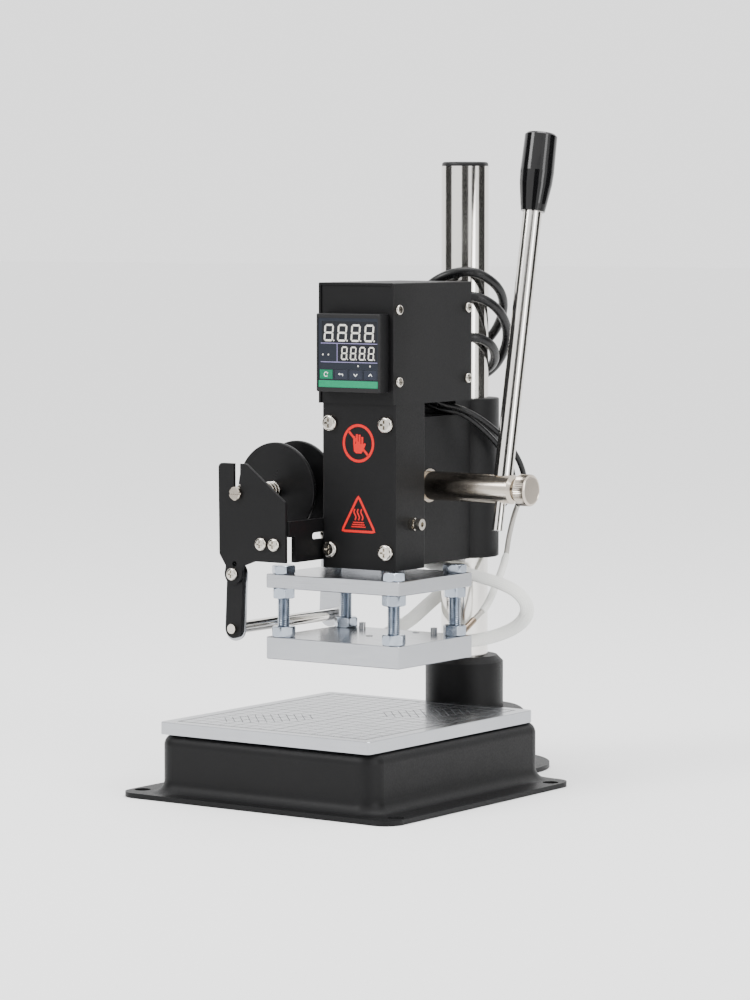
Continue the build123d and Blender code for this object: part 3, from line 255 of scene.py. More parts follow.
def machined_steel():
    """Bare machined steel of the gear, the rack and the heaters: grey, fine tool marks."""
    material, tree = new_material("machined_steel", linear("#a8a9ab"), Metallic=1.0)
    marks = grain(tree, (0.3, 6, 6))
    uneven_gloss(tree, marks, 0.24, 0.4)
    relief(tree, marks, 0.01, 0.5)
    return material


def spring_wire():
    """Drawn spring wire, nickel plated: smooth and fairly bright."""
    material, tree = new_material("drawn_spring_wire", linear("#c2bfb9"), Metallic=1.0)
    uneven_gloss(tree, grain(tree, 0.6), 0.16, 0.3)
    return material


def heated_steel():
    """Stainless ferrule of the probe, browned by heat: warm grey, a little cloudy."""
    base = linear("#a3917f")
    material, tree = new_material("heat_tinted_stainless", base, Metallic=1.0, Roughness=0.28)
    uneven_colour(tree, grain(tree, 5), *shades(base, 0.15))
    return material


def moulded_black():
    """Black ABS and nylon, injection moulded in an eroded tool: even, low sheen."""
    material, tree = new_material("moulded_black_abs", linear("#161617"), IOR=1.53, Specular_IOR_Level=0.25)
    erosion = grain(tree, 0.6, 2.0)
    uneven_gloss(tree, erosion, 0.38, 0.52)
    relief(tree, erosion, 0.02, 0.5)
    return material


def phenolic_black():
    """Black phenolic of the lever's grip, compression moulded and buffed: deep gloss, slight waviness."""
    material, tree = new_material("phenolic_gloss_black", finishes().grip, IOR=1.6, Specular_IOR_Level=0.28)
    flow = grain(tree, 9, 1.0)
    uneven_gloss(tree, flow, 0.07, 0.15)
    relief(tree, flow, 0.04, 0.3)
    return material


def printed_film(name, base, gloss=0.28):
    """Polyester film with printing on its back: flat colour under a smooth, slightly uneven skin."""
    material, tree = new_material(name, base, Roughness=gloss, IOR=1.57, Specular_IOR_Level=0.2)
    skin = grain(tree, 1.5, 1.0)
    uneven_colour(tree, skin, *shades(base, 0.05))
    relief(tree, skin, 0.01, 0.3)
    return material


def cord_jacket():
    """PVC jacket of the leads, extruded: black, half matt, faintly scuffed."""
    material, tree = new_material("extruded_pvc_black", linear("#101011"), IOR=1.53, Specular_IOR_Level=0.25)
    scuff = grain(tree, 2.5)
    uneven_gloss(tree, scuff, 0.24, 0.36)
    relief(tree, scuff, 0.03, 0.3)
    return material


def strands(tree, around, pitch):
    """Height of a braid on a tube: strands wind both ways, around of them, in pitch millimetres a turn."""
    uv = add_node(tree, "ShaderNodeTexCoord").outputs["UV"]
    parts = add_node(tree, "ShaderNodeSeparateXYZ", inputs={"Vector": uv}).outputs
    rates = {"X": math.tau * around, "Y": math.tau * around / (pitch * MM)}
    phases = [add_node(tree, "ShaderNodeMath", {"operation": "MULTIPLY"}, {0: parts[a], 1: rate}).outputs[0]
              for a, rate in rates.items()]
    waves = []
    for way in ("ADD", "SUBTRACT"):
        phase = add_node(tree, "ShaderNodeMath", {"operation": way}, dict(enumerate(phases))).outputs[0]
        waves.append(add_node(tree, "ShaderNodeMath", {"operation": "SINE"}, {0: phase}).outputs[0])
    return add_node(tree, "ShaderNodeMath", {"operation": "MULTIPLY"}, dict(enumerate(waves))).outputs[0]


def steel_braid():
    """Stainless wire braided over the probe's lead: painted highlight on the crossings, painted shade in the
    gaps.
    The real wires are 0.15 mm; they are drawn 0.5 mm wide so that they show."""
    base = linear("#b9b6b0")
    material, tree = new_material("braided_stainless_wire", base, Metallic=1.0, Roughness=0.32)
    height = strands(tree, 8, 12)
    # Colour by strand height: the crossings lighter as painted highlight, the gaps darker as painted shade.
    uneven_colour(tree, height, *shades(base, 0.35), (-0.6, 0.6))
    relief(tree, height, 0.12, 0.8)
    return material


def woven_glass():
    """Woven glass-fibre sleeving over the heaters' leads: off-white, soft, a fine herringbone.
    The real yarns are 0.4 mm; they are drawn 0.8 mm wide so that they show."""
    base = finishes().sleeve
    material, tree = new_material("woven_glass_sleeve", base, Roughness=0.75, IOR=1.5, Sheen_Weight=0.25)
    uneven_colour(tree, grain(tree, 12), linear("#e9eae6"), base)
    relief(tree, strands(tree, 9, 18), 0.14, 0.6)
    return material


def laser_mark():
    """Laser marking on aluminium: a shallow matt grey line."""
    material, tree = new_material("laser_marked_line", linear("#4b4e52"), Metallic=0.6)
    uneven_gloss(tree, grain(tree, 0.5), 0.48, 0.62)
    return material


def plastic_disc():
    """Black acetal of the foil discs, turned: fine rings round the axle, soft gloss."""
    material, tree = new_material("turned_black_acetal", linear("#111112"), IOR=1.48, Specular_IOR_Level=0.2)
    rings = grain(tree, (9, 0.5, 9))
    uneven_gloss(tree, rings, 0.26, 0.42)
    relief(tree, rings, 0.02, 0.4)
    return material


NODE_FINISHES = {
    powder_coat: ["base_casting", "column_collar", "carriage", "guide_housing", "guide_cover", "box_cover",
                  "box_chassis", "foil_bracket", "foil_plates", "guide_arms"],
    hard_chrome: ["column_tube", "lever_rod", "foil_roller"],
    turned_nickel: ["pinion_shaft", "lever_knob", "foil_axle", "pinion_bushes"],
    heated_steel: ["sensor_probe"],
    milled_aluminium: ["work_plate", "upper_plate", "heated_plate", "arm_backings", "ram"],
    zinc_plate: ["plate_bolts", "plate_nuts"],
    nickel_plate: ["guide_cover_screws", "small_pan_screws", "arm_screws", "work_plate_screws", "gib_screw"],
    black_oxide: ["collar_screws", "height_clamp_screws", "ram_screws", "shaft_circlip"],
    machined_steel: ["rack", "pinion_gear", "cartridge_heaters", "plate_set_screws"],
    spring_wire: ["return_spring", "axle_spring"],
    moulded_black: ["column_cap", "controller_case", "switch_body", "switch_rocker", "mains_gland",
                    "mains_plug"],
    phenolic_black: ["lever_grip"],
    plastic_disc: ["foil_discs"],
    cord_jacket: ["mains_cord", "mains_coil", "sensor_lead", "heater_lead"],
    steel_braid: ["sensor_braid"],
    woven_glass: ["heater_sleeve_right", "heater_sleeve_left"],
}
FILM_COLOURS = {"controller_face": "#1d212a", "key_mode": "#0c6b4b", "key_shift": "#242833",
                "key_down": "#242833", "key_up": "#242833"}
made = {}


def finish(maker, *words):
    """A material, made once."""
    key = (maker.__name__, *words)
    if key not in made:
        made[key] = maker(*words)
    return made[key]


# ---------------------------------------------------------------- mesh helpers
def placed(name, data):
    """An object in the scene that shows a mesh, a light or a camera."""
    obj = bpy.data.objects.new(name, data)
    bpy.context.scene.collection.objects.link(obj)
    return obj


def piece(name, mesh, material, body, smooth_angle=None):
    """A finished mesh as an object that rides on a body and takes its finish from a slot."""
    obj = placed(name, mesh)
    mesh.materials.append(material)
    if smooth_angle is not None:
        mesh.polygons.foreach_set("use_smooth", [True] * len(mesh.polygons))
        mesh.set_sharp_from_angle(angle=math.radians(smooth_angle))
    if body:
        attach(obj, body)
    return obj


def mesh_of(name, vertices, faces):
    mesh = bpy.data.meshes.new(name)
    mesh.from_pydata([tuple(v) for v in vertices], [], faces)
    mesh.validate()
    return mesh


def rows_of_rings(rings):
    """Faces that join rings of the same count in order, with both ends closed, and the vertices."""
    count = len(rings[0])
    vertices = [v for ring in rings for v in ring]
    faces = []
    for i in range(len(rings) - 1):
        for j in range(count):
            k = (j + 1) % count
            faces.append((i * count + j, i * count + k, (i + 1) * count + k, (i + 1) * count + j))
    faces.append(tuple(reversed(range(count))))
    last = (len(rings) - 1) * count
    faces.append(tuple(last + j for j in range(count)))
    return vertices, faces


def joined(parts):
    """Several (vertices, faces) as one."""
    vertices, faces = [], []
    for some, more in parts:
        start = len(vertices)
        vertices += list(some)
        faces += [tuple(start + i for i in face) for face in more]
    return vertices, faces


def turned(radius_at, heights, count, x, y):
    """Rings round an upright axis: radius_at(angle, height) gives each point's distance from it."""
    angles = [math.tau * j / count for j in range(count)]
    return rows_of_rings([[(x + radius_at(a, height) * math.cos(a), y + radius_at(a, height) * math.sin(a),
                            height) for a in angles] for height in heights])


def spline_path(points, resolution=10):
    """The smooth line that has these points as its control points."""
    curve = bpy.data.curves.new("route", "CURVE")
    curve.dimensions = "3D"
    curve.resolution_u = resolution
    spline = curve.splines.new("NURBS")
    spline.points.add(len(points) - 1)
    for knot, place in zip(spline.points, points):
        knot.co = (*place, 1)
    spline.order_u = 3
    spline.use_endpoint_u = True
    holder = bpy.data.objects.new("route", curve)
    mesh = bpy.data.meshes.new_from_object(holder)
    path = [v.co.copy() for v in mesh.vertices]
    bpy.data.objects.remove(holder)
    bpy.data.meshes.remove(mesh)
    return path


def path_length(path):
    return sum((b - a).length for a, b in zip(path, path[1:]))


def tube(name, path, half_width, half_thickness, count=16, facing=None):
    """A tube along a path with a round or flattened section. The halves may be functions of the
    distance along it. Its UV runs round the tube and, in metres, along it. Its flat side faces
    a direction if one is given."""
    wide = half_width if callable(half_width) else lambda s: half_width
    thin = half_thickness if callable(half_thickness) else lambda s: half_thickness
    tangents = [(after - before).normalized()
                for before, after in zip([path[0], *path[:-1]], [*path[1:], path[-1]])]
    up = Vector((0, 0, 1))
    normal = (up - tangents[0] * up.dot(tangents[0])).normalized()
    rings, distances, distance = [], [], 0.0
    for i, (place, tangent) in enumerate(zip(path, tangents)):
        if i:
            distance += (place - path[i - 1]).length
            normal = tangents[i - 1].rotation_difference(tangent) @ normal
            normal = (normal - tangent * normal.dot(tangent)).normalized()
        if facing:
            normal = tangent.cross(Vector(facing)).normalized()
        other = tangent.cross(normal)
        rings.append([place + normal * wide(distance) * math.cos(math.tau * j / count)
                      + other * thin(distance) * math.sin(math.tau * j / count) for j in range(count)])
        distances.append(distance)
    mesh = mesh_of(name, *rows_of_rings(rings))
    layer = mesh.uv_layers.new(name="UVMap")
    for polygon in mesh.polygons:
        corners = list(polygon.loop_indices)
        columns = [mesh.loops[c].vertex_index % count for c in corners]
        wraps = max(columns) - min(columns) > count / 2
        for corner, column in zip(corners, columns):
            row = mesh.loops[corner].vertex_index // count
            u = (column + (count if wraps and column < count / 2 else 0)) / count
            layer.data[corner].uv = (u, distances[row])
    mesh.polygons.foreach_set("use_smooth", [True] * len(mesh.polygons))
    return mesh


# ---------------------------------------------------------------- flat shapes on a face
LAYER_SHARE = 0.9  # how much of its height a printed layer's body takes; the rest keeps it off the face


def circle_points(x, z, radius, count, start=0.0, sweep=math.tau):
    """Points round a circle, or along an arc with both its ends."""
    angles = [start + sweep * j / count for j in range(count if sweep == math.tau else count + 1)]
    return [(x + radius * math.cos(a), z + radius * math.sin(a)) for a in angles]


def disc_shape(x, z, radius, count, start=0.0):
    """A filled circle or regular polygon."""
    return [circle_points(x, z, radius, count, start)]


def stroke_shape(points, width, closed=False):
    """A band of one width along a line with mitred corners, as quads."""
    places = [Vector(p) for p in points]
    count = len(places)
    sides = []
    for i in range(count):
        before = places[i] - places[i - 1] if closed or i else places[1] - places[0]
        after = places[(i + 1) % count] - places[i] if closed or i < count - 1 else places[-1] - places[-2]
        before, after = before.normalized(), after.normalized()
        across = Vector((-before.y - after.y, before.x + after.x)).normalized()
        reach = width / 2 / max(0.35, across.dot(Vector((-before.y, before.x))))
        sides.append((places[i] + across * reach, places[i] - across * reach))
    pairs = zip(sides, sides[1:] + sides[:1] if closed else sides[1:])
    return [[tuple(a), tuple(b), tuple(d), tuple(c)] for (a, b), (c, d) in pairs]


def box_shape(low, high):
    """A filled rectangle between two corners."""
    return [[low, (high[0], low[1]), high, (low[0], high[1])]]


def add_face(bm, corners, outward):
    """A flat face whose front looks outward."""
    face = bm.faces.new([bm.verts.new(corner) for corner in corners])
    face.normal_update()
    if face.normal.dot(Vector(outward)) < 0:
        face.normal_flip()


def thin_layer(name, bm, sink):
    """The mesh of flat faces that are made solid down to a depth."""
    edge = bmesh.ops.extrude_face_region(bm, geom=list(bm.faces))
    moved = [v for v in edge["geom"] if isinstance(v, bmesh.types.BMVert)]
    bmesh.ops.translate(bm, verts=moved, vec=sink)
    bmesh.ops.recalc_face_normals(bm, faces=list(bm.faces))
    mesh = bpy.data.meshes.new(name)
    bm.to_mesh(mesh)
    bm.free()
    return mesh


def printed(name, shapes, y, material, proud=0.06, body="head"):
    """Printed shapes, in X and Z, as a thin layer that stands proud millimetres of a front face at y."""
    bm = bmesh.new()
    for shape in shapes:
        add_face(bm, [(x, y - proud * MM, z) for x, z in shape], (0, -1, 0))
    bmesh.ops.remove_doubles(bm, verts=bm.verts, dist=1e-7)
    piece(name, thin_layer(name, bm, (0, proud * MM * LAYER_SHARE, 0)), material, body)


# ---------------------------------------------------------------- pieces
def finish_cad_nodes():
    """Every carried-over node gets its finish."""
    chosen = {name: finish(maker) for maker, names in NODE_FINISHES.items() for name in names}
    chosen.update({name: finish(printed_film, "film_" + name, linear(code))
                   for name, code in FILM_COLOURS.items()})
    for name, material in chosen.items():
        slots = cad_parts[name].data.materials
        slots.clear()
        slots.append(material)


BOLT_SPACING = (83 * MM, 66 * MM)
HEX_ACROSS, HEX_CHAMFER, THREAD_R, NUT_H = 13 * MM, 0.75 * MM, 4 * MM, 6.5 * MM
THREAD_DEPTH = 0.61 * 0.95  # in pitches, with the root a little rounded
THREAD_ROWS = 6  # rings of points in a pitch


def hexagon(x, y, low, high, turn):
    """A hexagon with a chamfer of about 30 degrees at both ends."""
    def radius(angle, height):
        face = (angle - turn) % (math.pi / 3) - math.pi / 6
        end = min(height - low, high - height)
        return min(HEX_ACROSS / 2 / math.cos(face), HEX_ACROSS / 2 * 0.99 + end * 1.6)

    ends = [HEX_CHAMFER * k / 4 for k in range(5)]
    heights = [low + e for e in ends] + [high - e for e in reversed(ends)]
    return turned(radius, heights, 72, x, y)


def thread(x, y, low, high):
    """A threaded rod: one helical groove."""
    pitch = sizes().thread_pitch
    rows = int((high - low) / pitch * THREAD_ROWS)

    def radius(angle, height):
        phase = (height / pitch - angle / math.tau) % 1
        return THREAD_R - THREAD_DEPTH * pitch * (1 - abs(2 * phase - 1))

    return turned(radius, [low + (high - low) * k / rows for k in range(rows + 1)], 24, x, y)


def plate_bolts():
    """Four M8 bolts with real threads, and the eight nuts that set the plates level."""
    upper_low, upper_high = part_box("upper_plate")
    lower_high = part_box("heated_plate")[1]
    bolt_low, bolt_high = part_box("plate_bolts")
    middle = middle_of("upper_plate")
    bolts, nuts = [], []
    for i in range(4):
        x = middle.x + (-0.5, 0.5)[i // 2] * BOLT_SPACING[0]
        y = middle.y + (-0.5, 0.5)[i % 2] * BOLT_SPACING[1]
        # Each head and nut stops at an angle of its own.
        bolts.append(hexagon(x, y, upper_high.z, bolt_high.z, 0.35 + 0.4 * i))
        bolts.append(thread(x, y, bolt_low.z, upper_high.z))
        nuts.append(hexagon(x, y, upper_low.z - NUT_H, upper_low.z, 0.2 + 0.7 * i))
        nuts.append(hexagon(x, y, lower_high.z, lower_high.z + NUT_H, 0.9 + 0.5 * i))
    for name, parts in (("plate_bolts", bolts), ("plate_nuts", nuts)):
        mesh = mesh_of(name, *joined(parts))
        obj = piece("threaded_" + name, mesh, finish(zinc_plate), "ram", 28)
        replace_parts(obj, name)


KNOB_HEAD, KNOB_COLLAR = 8.8 * MM, 3 * MM
KNOB_SHANK_R, KNOB_COLLAR_R = 2.95 * MM, 5.5 * MM
KNOB_SIDES, KNOB_TEETH = 224, 56


def thumb_screw():
    """The knurled thumb screw in the shaft's end."""
    low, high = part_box("lever_knob")
    centre = middle_of("lever_knob")
    rim = (high.z - low.z) / 2
    head, end = high.x - KNOB_HEAD, high.x
    # Along the axis, radius, and share of the knurl's depth.
    profile = [(low.x, KNOB_SHANK_R, 0), (head - KNOB_COLLAR, KNOB_SHANK_R, 0),
               (head - KNOB_COLLAR, KNOB_COLLAR_R, 0), (head, KNOB_COLLAR_R, 0), (head, rim - 1.0 * MM, 0),
               (head + 0.3 * MM, rim - 0.6 * MM, 0), (head + 0.9 * MM, rim, 0.4), (head + 1.3 * MM, rim, 1),
               (end - 1.4 * MM, rim, 1), (end - 1.0 * MM, rim, 0.4), (end - 0.3 * MM, rim - 0.7 * MM, 0),
               (end, rim - 1.3 * MM, 0), (end - 0.35 * MM, rim - 1.7 * MM, 0), (end - 0.35 * MM, 1.2 * MM, 0)]
    rings = []
    for x, radius, knurl in profile:
        ring = []
        for j in range(KNOB_SIDES):
            wave = abs((j * KNOB_TEETH / KNOB_SIDES) % 1 * 2 - 1)
            r = radius - sizes().knurl_depth * knurl * wave
            angle = math.tau * j / KNOB_SIDES
            ring.append((x, centre.y + r * math.cos(angle), centre.z + r * math.sin(angle)))
        rings.append(ring)
    mesh = mesh_of("thumb_screw", *rows_of_rings(rings))
    obj = piece("knurled_thumb_screw", mesh, finish(turned_nickel), "lever_knob", 32)
    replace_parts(obj, "lever_knob")


SEGMENTS = [((0, 1), (1, 1)), ((1, 0.5), (1, 1)), ((1, 0), (1, 0.5)), ((0, 0), (1, 0)),
            ((0, 0), (0, 0.5)), ((0, 0.5), (0, 1)), ((0, 0.5), (1, 0.5))]


def digit_shapes(x, z, width, height, stroke):
    """A leaning seven-segment eight with its point: low left corner, size and stroke."""
    shapes = []
    lean, gap, half = 0.08, stroke * 0.14, Vector((stroke / 2, stroke / 2))
    for ends in SEGMENTS:
        a, b = [Vector((u * (width - stroke), v * (height - stroke))) + half for u, v in ends]
        run = (b - a).normalized()
        across = Vector((-run.y, run.x)) * stroke / 2
        a, b = a + run * gap, b - run * gap
        point = run * stroke / 2
        corners = [a, a + point - across, b - point - across, b, b - point + across, a + point + across]
        shapes.append([(x + c.x + lean * c.y, z + c.y) for c in corners])
    return shapes + disc_shape(x + width + stroke * 0.55, z + stroke / 2, stroke * 0.45, 12)


INKS = {"display_segment": ("#d6d4cb", 0.35), "printed_rule": ("#8f88b4", 0.3),
        "printed_white": ("#e8eae8", 0.3), "printed_green": ("#07815a", 0.25),
        "display_window": ("#15171c", 0.12)}  # colour, roughness


def controller_print():
    """The temperature controller's display, keys and printed strip, all on its front film.
    Places are in millimetres to the right of and below the case's top left corner."""
    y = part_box("controller_face")[0].y
    left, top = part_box("controller_case")[0].x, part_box("controller_case")[1].z
    digit, rule, white, green, dark = [finish(printed_film, name, linear(code), gloss)
                                       for name, (code, gloss) in INKS.items()]

    def at(x, z):
        return left + x * MM, top - z * MM

    def frame_box(x0, x1, z0, z1):
        return box_shape(at(x0, z1), at(x1, z0))

    windows = frame_box(4.2, 45.6, 4.6, 17.9) + frame_box(16.6, 45.6, 18.6, 29.2)
    printed("display_window", windows, y, dark, 0.04)
    big, small = [], []
    for i in range(4):
        big += digit_shapes(*at(5.6 + 10.1 * i, 17.0), 7.0 * MM, 10.6 * MM, 1.15 * MM)
        small += digit_shapes(*at(18.6 + 6.7 * i, 28.3), 4.5 * MM, 8.3 * MM, 0.85 * MM)
    printed("display_process_digits", big, y, digit, 0.1)
    printed("display_setting_digits", small, y, digit, 0.1)
    rules = (frame_box(3.4, 45.9, 18.0, 18.35) + frame_box(3.4, 45.9, 29.5, 29.85)
             + frame_box(15.6, 15.95, 18.35, 29.5))
    printed("printed_rules", rules, y, rule)
    lamps = []
    for x, z in ((5.0, 25.2), (9.2, 25.2), (31.5, 31.8), (40.5, 31.8)):
        lamps += disc_shape(*at(x, z), 0.55 * MM, 14)
    printed("indicator_lamps", lamps, y, digit)
    printed("printed_strip", frame_box(1.8, 46.2, 41.0, 45.2), y, green)
    for name in ("key_mode", "key_shift", "key_down", "key_up"):
        cx, _, cz = middle_of(name)
        if name == "key_mode":
            shapes = (stroke_shape(circle_points(cx, cz, 1.35 * MM, 24, 0.6, 5.0), 0.42 * MM)
                      + disc_shape(cx + 1.15 * MM, cz + 0.75 * MM, 0.75 * MM, 3, 0.4))
        elif name == "key_shift":
            bend = [(1.5, -0.9), (1.5, 0.3), (-0.7, 0.3)]
            shapes = (stroke_shape([(cx + u * MM, cz + v * MM) for u, v in bend], 0.42 * MM)
                      + disc_shape(cx - 1.1 * MM, cz + 0.3 * MM, 0.85 * MM, 3, math.pi))
        else:
            way = -MM if name == "key_down" else MM
            arrow = [(-1.3, -0.6), (0, 0.8), (1.3, -0.6)]
            shapes = stroke_shape([(cx + u * MM, cz + v * way) for u, v in arrow], 0.5 * MM)
        printed(name + "_icon", shapes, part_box(name)[0].y, white, body=name)


PALM = [(-3.85, -0.4), (-3.4, -4.8), (-1.8, -6.2), (2.2, -6.2), (3.6, -4.4), (5.6, -0.6), (5.0, 0.4),
        (3.65, -0.4)]
FINGERS = [(-3.1, 4.3), (-1.1, 5.6), (0.9, 5.3), (2.9, 4.0)]  # middle, tip


def warning_signs():
    """Two generic signs on the front cover: do not touch, and hot surface."""
    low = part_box("guide_cover")[0]
    y, cx = low.y, middle_of("guide_cover").x
    ink = finish(printed_film, "printed_sign", tuple(finishes().sign), 0.4)
    cz, foot = low.z + 77.8 * MM, low.z + 23.4 * MM

    def at(u, v, z=cz):
        """A place in millimetres from the first sign's middle, or from the second one's foot."""
        return cx + u * MM, z + v * MM

    ring = stroke_shape(circle_points(cx, cz, 11.0 * MM, 64), 1.7 * MM, closed=True)
    lean = math.radians(135)
    end = Vector((math.cos(lean), math.sin(lean))) * 10.4 * MM
    slash = stroke_shape([(cx + end.x, cz + end.y), (cx - end.x, cz - end.y)], 1.5 * MM)
    hand = [[at(u, v) for u, v in PALM]]
    for u, tip in FINGERS:
        hand += box_shape(at(u - 0.75, -0.4), at(u + 0.75, tip))
    printed("sign_no_touch", ring + slash, y, ink, 0.08)
    printed("sign_hand", hand, y, ink, 0.05)
    corners = [Vector(at(u, v, foot)) for u, v in ((-12.4, 0), (12.4, 0), (0, 21.8))]
    outline = []
    for i, here in enumerate(corners):
        back, on = [(there - here).normalized() for there in (corners[i - 1], corners[(i + 1) % 3])]
        outline += [here + back * 2.2 * MM, here + (back + on).normalized() * 0.75 * MM, here + on * 2.2 * MM]
    shapes = stroke_shape(outline, 1.5 * MM, closed=True)
    for u in (-2.6, 0, 2.6):
        wave = [at(u + 0.75 * math.sin(k * math.pi / 4), 7.0 + 0.85 * k, foot) for k in range(9)]
        shapes += stroke_shape(wave, 0.95 * MM)
    for k in range(3):
        bar, rise = 5.4 - 0.7 * k, 1.35 * k
        shapes += box_shape(at(-bar, 2.5 + rise, foot), at(bar, 3.2 + rise, foot))
    printed("sign_hot_surface", shapes, y, ink, 0.08)


MARK_MARGIN, MARK_PROUD = 8 * MM, 0.03 * MM
LONG_TICK, SHORT_TICK = 4 * MM, 2.2 * MM
BAND_STROKES = 12


def work_plate_marks():
    """Laser-marked grid, centre lines, edge ticks and two bands of slanting strokes on the work plate."""
    low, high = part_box("work_plate")
    mid = middle_of("work_plate")
    pitch, width = sizes().grid_pitch, sizes().line_width
    half_x, half_y = (high.x - low.x) / 2 - MARK_MARGIN, (high.y - low.y) / 2 - MARK_MARGIN
    bm = bmesh.new()

    def line(x0, y0, x1, y1, thick=width):
        run = Vector((x1 - x0, y1 - y0)).normalized() * thick / 2
        corners = [(x0 + run.y, y0 - run.x), (x1 + run.y, y1 - run.x),
                   (x1 - run.y, y1 + run.x), (x0 - run.y, y0 + run.x)]
        add_face(bm, [(mid.x + x, mid.y + y, high.z + MARK_PROUD) for x, y in corners], (0, 0, 1))

    def steps(half, step):
        """Counts and places from the middle to both ends."""
        last = int(half / step)
        return [(k, k * step) for k in range(-last, last + 1)]

    for k, x in steps(half_x, pitch):
        line(x, -half_y, x, half_y, width * (2 if k == 0 else 1))
    for k, y in steps(half_y, pitch):
        line(-half_x, y, half_x, y, width * (2 if k == 0 else 1))
    for side in (-1, 1):
        line(side * half_x, -half_y, side * half_x, half_y)
        line(-half_x, side * half_y, half_x, side * half_y)
        for k, y in steps(half_y, pitch / 5):
            line(side * half_x, y, side * (half_x - (SHORT_TICK if k % 5 else LONG_TICK)), y)
        for k, x in steps(half_x, pitch / 5):
            line(x, side * half_y, x, side * (half_y - (SHORT_TICK if k % 5 else LONG_TICK)))
    along, run = Vector((half_x, half_y)), Vector((half_x, -half_y)).normalized()
    for side in (-1, 1):
        for k in range(BAND_STROKES):
            place = side * (0.22 + 0.5 * k / (BAND_STROKES - 1)) * along
            reach = (7 + 11 * math.sin(math.pi * (k + 1) / (BAND_STROKES + 1))) * MM * run
            line(*(place - reach), *(place + reach), width * 1.5)
    mesh = thin_layer("work_plate_marks", bm, (0, 0, -MARK_PROUD * LAYER_SHARE))
    piece("work_plate_marks", mesh, finish(laser_mark), "frame")


# ---------------------------------------------------------------- cords
COLUMN = middle_of("column_tube")
DRESS_TURN = math.radians(35.2)  # how far from X the leads' across direction is turned
MAINS_R, LEAD_R, BRAID_R = 3.0 * MM, 1.85 * MM, 1.7 * MM
# Routes are control points in millimetres.
MAINS_EXIT = [(-14.5, 99.6, 252.0), (-14.5, 106.6, 252.0)]
# Three loose turns round the column: angle from the right-hand side, radius, height.
MAINS_TURNS = [
    (172, 23.5, 251), (140, 22, 250), (110, 21.5, 249), (78, 21, 250), (45, 21, 254.5), (10, 20.5, 262),
    (-35, 21, 272), (-73, 22, 277.5), (-110, 24, 275), (-145, 27, 266.5), (178, 29, 257.5), (150, 30.5, 250),
    (120, 32, 246), (90, 32, 246), (60, 31, 251.5), (30, 28.5, 263), (0, 28.3, 280), (-42, 28.3, 295.5),
    (-79, 28, 304), (-115, 28.5, 301), (-150, 30, 290), (180, 30, 276), (150, 29, 266), (120, 28, 262),
    (90, 27, 263.5), (58, 26, 271.5), (30, 25.5, 283), (0, 25.6, 297.5), (-38, 25.5, 310.5), (-83, 26, 320),
    (-128, 28, 315), (-160, 31, 303), (172, 35, 285), (151, 37.5, 264), (133, 37.5, 243)]
# Down behind the column and out on the bench: across, behind, height.
MAINS_TAIL = [
    (-20.5, 30.5, 224), (-15, 32.8, 204), (-11, 33.4, 182), (-9, 33.5, 158), (-9, 33.5, 130), (-9, 34.5, 104),
    (-9, 39, 79), (-9, 46, 56), (-10, 55, 34), (-10, 65, 15.5), (-8, 80, 5), (-3, 98, 3.2)]
# The coil on the bench: where its middle lies from the tail's end, and its turns, which are angle
# from where the cord meets it, radius and height. Its last stretch runs back to the plug.
COIL_R, LEAD_IN = 34.0, 27.5
ENTRY_RUN = (5.0 / 18.68, 18.0 / 18.68)
COIL_LAY = [(0, 37.2, 3.1), (300, 37.2, 3.1), (350, 31.0, 3.1), (600, 31.0, 3.1), (650, 31.5, 9.0),
            (720, 33.5, 9.2), (750, 34.1, 8.6), (880, 34.1, 8.8), (915, 34.0, 9.4)]
COIL_STEP, COIL_POINTS, COIL_EASE = 20, 46, 1.01
COIL_END = [(9, 9.9), (19, 10.4), (LEAD_IN + 2, 10.5)]
SENSOR_LEAD = [
    (-1, 75, 262), (0.5, 76, 251), (4.5, 79, 241.5), (11.5, 84.5, 235.6), (20, 92, 233.2), (26, 101, 228.5),
    (31, 111, 221.5), (35, 121, 213), (37.5, 132, 202), (36.5, 143, 189), (31, 150.5, 177.5),
    (25, 153, 168.5)]
SENSOR_BRAID = [
    (24.6, 153.15, 167.8), (21.7, 154.4, 163.0), (19.5, 154, 155), (20, 149.5, 145.5), (24.5, 140.5, 137.5),
    (29.5, 129.5, 131), (33.5, 118, 124), (36, 107, 115.5), (37.3, 98, 108), (37.3, 89.5, 103.5),
    (37.3, 83.7, 100.7)]
HEATER_LEAD = [
    (-6, 76, 258), (-4.5, 77.5, 247), (-0.5, 80.5, 237.5), (8, 86, 232), (17.5, 93, 231), (23.5, 102, 225),
    (27.5, 112, 217), (30, 122, 208.5), (31, 132.5, 198.5), (28.5, 142.5, 187.5), (22.5, 150, 177),
    (14.5, 155, 169), (6, 157.6, 163.5), (-2, 158, 158.6)]
HEATER_RIGHT = [
    (-5.5, 155, 144.7), (-7.5, 154.4, 140.0), (-12.5, 151, 135.3), (-18.5, 144.5, 132.5),
    (-22.5, 135.5, 131.3), (-23.5, 125.5, 131), (-19.5, 114, 131.2), (-10, 106, 131.3), (4, 102, 130.5),
    (19, 99.5, 128.5), (34, 98.5, 126), (48, 99, 123), (58, 101.5, 118.5), (63.5, 104, 111.5),
    (63.5, 105, 103.5), (57.5, 103, 96), (48, 97, 90.8), (39.5, 89, 88), (32, 80, 87.2), (27.3, 71, 86.6),
    (27.3, 65, 86.6)]
HEATER_LEFT = [
    (-3.5, 159.9, 144.9), (-5, 160.4, 139.0), (-9, 158.5, 131), (-14.5, 152.5, 122.5), (-20, 144.5, 114.5),
    (-24.5, 135.5, 108.5), (-26, 125.5, 103.3), (-25, 113.5, 98.8), (-23, 101, 95.3), (-22.5, 88, 92),
    (-24.5, 78, 88.5), (-27.3, 71, 86.6), (-27.3, 65, 86.6)]
BOOT_LOW, BOOT_HIGH, BOOT_R = mm(-4.5, 157.5, 146), mm(-4.5, 157.5, 158), 5.2 * MM
